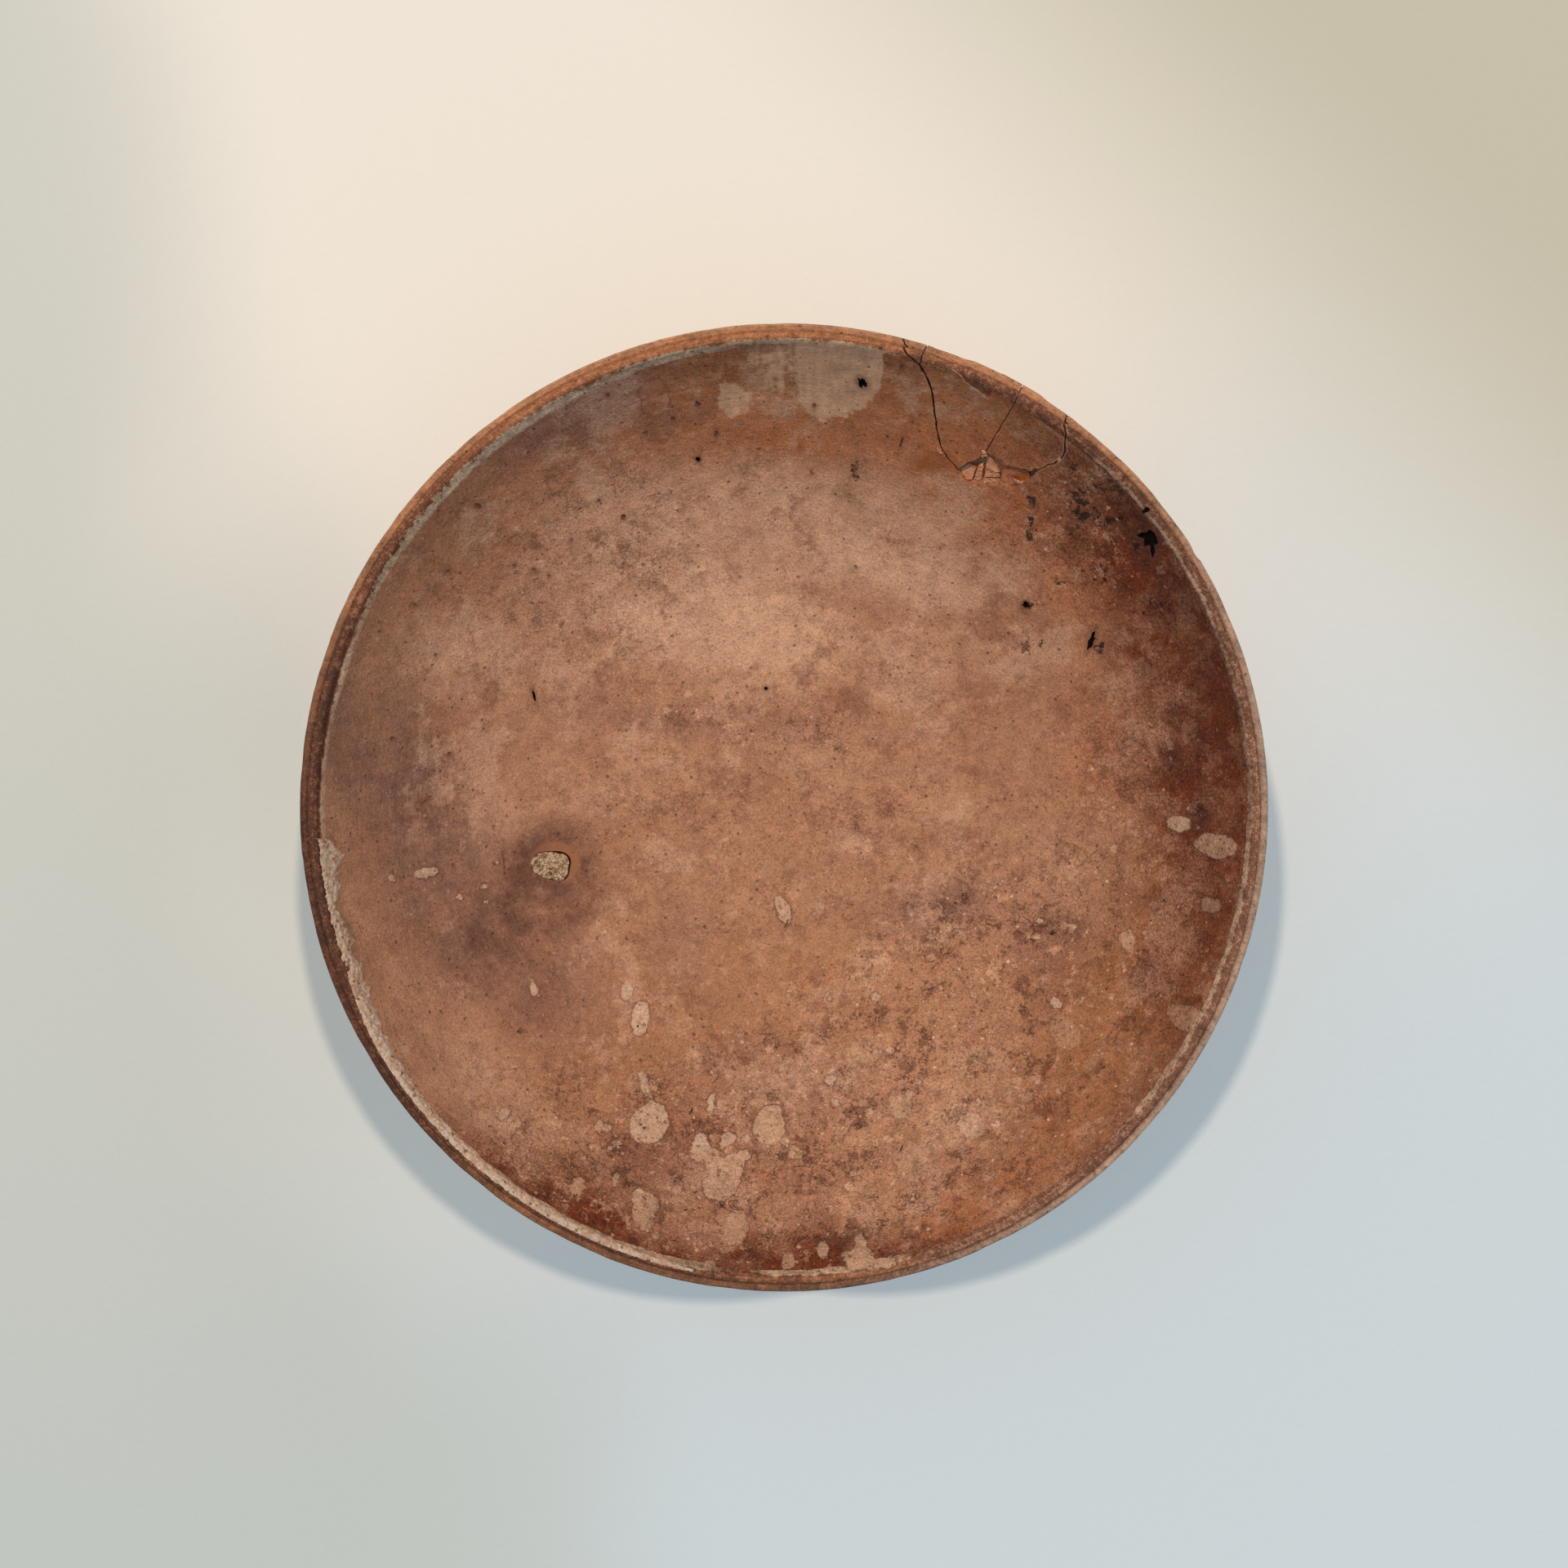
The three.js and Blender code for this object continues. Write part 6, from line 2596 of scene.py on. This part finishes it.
@dataclass(frozen=True)
class TableTop(SurfaceFinish):
    """The pale table, with painted light: warm lamplight at its upper left, cool shade at its lower right,
    and painted shadows at its left side and its upper right corner.
    """

    warm: Colour = srgb(238, 228, 215)
    cool: Colour = srgb(205, 214, 219)
    # Grey at the left side: a painted shadow.
    edge: Colour = srgb(190, 192, 184)
    # Yellowish grey at the upper right corner: a painted shadow.
    corner: Colour = srgb(196, 188, 168)

    def look(self, desk: ClayDesk, shader: Node) -> tuple[Value, Value, Socket]:
        """Lays out the table's slow change of colour, which is painted light and shadow, and its fine
        texture.
        """
        vector = desk.vector
        x, y, _ = desk.split(vector)
        soft = desk.scaled(desk.noise(vector, 120.0, 1.0), 0.2)
        # Warm at the upper left to cool at the lower right: painted lamplight and shade.
        down = desk.sum((y, -1.0 / 260.0), (x, 1.0 / 700.0), soft)
        colour = desk.blend(desk.smooth(down, -0.65, 0.55), self.warm, self.cool)
        # Darker towards the left side: a painted shadow.
        side = desk.sum((x, -1.0 / 220.0), (y, -1.0 / 700.0), soft)
        colour = desk.blend(desk.scaled(desk.smooth(side, 0.3, 0.75), 0.7), colour, self.edge)
        # Darker at the upper right corner: a painted shadow.
        far = desk.sum((x, 1.0 / 300.0), (y, 1.0 / 300.0))
        colour = desk.blend(desk.smooth(far, 0.5, 1.1), colour, self.corner)
        colour = desk.tone(colour, (desk.noise(vector, 2.0, 2.0), 0.015))
        return colour, 0.6, desk.scaled(desk.noise(vector, 1.2, 2.0), 0.02)


@dataclass
class Finishes:
    """All the materials, by what they stand for."""

    groups: ShaderGroups
    skin: Material = field(init=False)
    clay: tuple[Material, ...] = field(init=False)
    flake: Material = field(init=False)
    resin: Material = field(init=False)
    glue: Material = field(init=False)
    old_glue: Material = field(init=False)
    lime: Material = field(init=False)
    crust: Material = field(init=False)
    table: Material = field(init=False)

    def __post_init__(self) -> None:
        """Builds the materials."""
        groups = self.groups
        broken = RoughFinish("broken_clay", groups, srgb(112, 62, 38), srgb(76, 40, 25), srgb(36, 18, 12))
        dark = RoughFinish("pit_soot", groups, srgb(30, 15, 10), srgb(16, 8, 6), srgb(8, 5, 4), shine=0.1)
        dimple = RoughFinish("pit_clay", groups, srgb(140, 90, 66), srgb(112, 68, 50), srgb(72, 42, 30))
        soaked = RoughFinish(
            "soaked_clay", groups, srgb(180, 118, 80), srgb(150, 94, 60), srgb(96, 56, 34),
            pore_size=0.25, pore_share=0.4, contrast=0.35, roughness=0.5, coat=0.35,
        )
        self.skin = FiredClay("fired_clay", groups).make()
        self.clay = (self.skin, broken.make(), dark.make(), soaked.make(), dimple.make())
        self.flake = RoughFinish(
            "fresh_clay", groups, srgb(222, 158, 118), srgb(196, 120, 78), srgb(140, 76, 46),
            pore_size=0.2, pore_share=0.3,
        ).make()
        self.resin = GluePool("amber_resin", groups, srgb(204, 116, 60), srgb(150, 68, 30), 0.14).make()
        self.glue = GluePool("clear_glue", groups, srgb(204, 146, 106), srgb(150, 90, 56), 0.22).make()
        # Dark brown: old adhesive, and painted shade in the cracks.
        self.old_glue = GluePool("old_glue", groups, srgb(60, 32, 20), srgb(38, 20, 14), 0.4).make()
        self.lime = RoughFinish(
            "lime_stone", groups, srgb(210, 182, 146), srgb(134, 100, 72), srgb(84, 56, 38),
            pore_size=0.42, pore_share=0.6, contrast=0.7, split=0.12,
        ).make()
        self.crust = RoughFinish(
            "lime_crust", groups, srgb(212, 184, 158), srgb(174, 134, 108), srgb(122, 80, 58),
            pore_size=0.34, pore_share=0.35, contrast=0.5, split=0.2,
        ).make()
        self.table = TableTop("table_top", groups).make()


@dataclass
class Studio:
    """The floor, the light and the camera.

    Attributes:
        eye_height: Height of the camera over the floor.
        eye_forward: How far it stands towards the top of the view.
        lens: Focal length of the camera, for a 36 mm sensor.
        lamp_angle: How wide each lamp looks, radians.
        lamps: Directions in which the lamps lie, seen from the bowl.
    """

    table: Material
    eye_height: float = 367.0
    eye_forward: float = 4.83
    lens: float = 34.875
    lamp_angle: float = 0.045
    lamp_strength: float = 1.35
    lamp_colour: Colour = (0.97, 0.76, 0.575)
    sky_colour: Colour = (0.24, 0.40, 0.52)
    backdrop: Colour = srgb(226, 224, 219)
    lamps: tuple[tuple[float, float, float], ...] = ((-0.345, 0.311, 0.885), (0.296, 0.340, 0.893))

    def build(self) -> None:
        """Makes them all."""
        self.make_floor()
        self.make_camera()
        for number, way in enumerate(self.lamps):
            self.make_lamp(f"lamp_{number + 1}", Vector(way))
        self.make_world()
        bpy.context.scene.view_settings.view_transform = "Standard"

    def make_floor(self) -> None:
        """Makes the table that the bowl stands on."""
        build = MeshBuild()
        half, steps = 1600.0, 24
        across = np.linspace(-half, half, steps + 1)
        gx, gy = np.meshgrid(across, across)
        build.add_points(np.stack([gx, gy, np.full_like(gx, -0.05)], axis=-1).reshape(-1, 3))
        for j in range(steps):
            build.band(j * (steps + 1), (j + 1) * (steps + 1), steps + 1, False, True)
        floor = build.to_object("table")
        floor.data.materials.append(self.table)

    def make_camera(self) -> None:
        """Makes the camera, which looks straight down."""
        data = bpy.data.cameras.new("camera")
        data.sensor_width = 36.0
        data.lens = self.lens
        data.clip_end = 20.0
        camera = bpy.data.objects.new("camera", data)
        camera.location = (0.0, self.eye_forward * MM, self.eye_height * MM)
        bpy.context.scene.collection.objects.link(camera)
        bpy.context.scene.camera = camera

    def make_lamp(self, name: str, way: Vector) -> None:
        """Makes a lamp.

        Args:
            name: Its name.
            way: The direction in which it lies, seen from the bowl.
        """
        data = bpy.data.lights.new(name, "SUN")
        data.energy = self.lamp_strength
        data.color = self.lamp_colour
        data.angle = self.lamp_angle
        lamp = bpy.data.objects.new(name, data)
        lamp.rotation_mode = "QUATERNION"
        lamp.rotation_quaternion = way.to_track_quat("Z", "Y")
        lamp.location = way
        bpy.context.scene.collection.objects.link(lamp)

    def make_world(self) -> None:
        """Makes the soft light from all round, behind a pale backdrop."""
        world = bpy.data.worlds.new("studio")
        world.use_nodes = True
        bpy.context.scene.world = world
        desk = Desk(world.node_tree)
        ground = world.node_tree.nodes["Background"]
        seen = desk.node("ShaderNodeLightPath").outputs["Is Camera Ray"]
        desk.feed(ground.inputs["Color"], desk.blend(seen, self.sky_colour, self.backdrop))
        ground.inputs["Strength"].default_value = 1.0


def place(
    piece: Piece, node: Optional[str], slot: str,
    materials: Sequence[Material], sharp: float = 35.0,
) -> None:
    """Gives a piece its materials, and says what it rides on and stands for.

    Args:
        piece: The piece.
        node: The node that it stands for, or None.
        slot: The material slot of its finish; not used.
        materials: Its materials, in the order of its slots.
        sharp: Edges that turn by more degrees are shaded sharp.
    """
    mesh = piece.data
    slots = [face.material_index for face in mesh.polygons]
    mesh.materials.clear()
    for material in materials:
        mesh.materials.append(material)
    mesh.polygons.foreach_set("material_index", [min(i, len(materials) - 1) for i in slots])
    smooth_but_sharp(piece, sharp)
    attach(piece, BODY)
    if node is not None:
        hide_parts(node)
    LOG.info("%s: %d faces, for %s", piece.name, len(mesh.polygons), node or "no node")


def main() -> None:
    """Builds the bowl, its repair, its deposits and the studio."""
    logging.basicConfig(level=logging.INFO)
    low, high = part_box("dish_body")
    section = BowlSection((high[0] - low[0]) / 2.0 / MM, (high[2] - low[2]) / MM)
    scar_frame = WallFrame(section, *SCAR_PLACE)
    scar_edge = scar_frame.flatten(SCAR_EDGE)
    scar_edge = scar_edge[np.argsort(scar_edge[:, 0])]
    relief = Relief(section, scar_frame, tuple((x, y) for x, y in scar_edge))
    turning = ClayTurning(section, relief)
    repair = RimRepair(section, turning)
    repair.draw_joints()
    lime = LimeDeposits(section)
    finishes = Finishes(ShaderGroups())
    surface = SurfaceMap(section, relief, repair.sherd_frame, repair.courses["right"][0])

    break_cutter = repair.body_cutter()
    pits = merge_all(pit_cutters(section) + [lime.socket()])
    body = turning.whole("dish_body_turned")
    set_face_finish(body, Finish.SKIN)
    combine(body, break_cutter, "DIFFERENCE")
    combine(body, pits, "DIFFERENCE")
    surface.paint(body)
    place(body, "dish_body", "fired_clay", finishes.clay)
    for piece in repair.sherds():
        surface.paint(piece)
        place(piece, piece.name.removesuffix("_fine"), "fired_clay", finishes.clay)
    place(repair.adhesive(), None, "amber_resin", (finishes.old_glue,))
    for piece in repair.flakes():
        place(piece, piece.name.removesuffix("_split"), "fresh_clay", (finishes.flake,), 20.0)
    place(repair.resin(), "resin_fill", "amber_resin", (finishes.resin,))
    for piece in repair.beads():
        place(piece, piece.name.removesuffix("_drops"), "clear_glue", (finishes.glue,), 60.0)
    place(lime.nodule(), "lime_nodule", "lime", (finishes.lime,), 60.0)
    place(lime.crust(), "rim_lime_crust", "lime_crust", (finishes.crust,), 60.0)

    Studio(finishes.table).build()


if __name__ == "__main__":
    main()
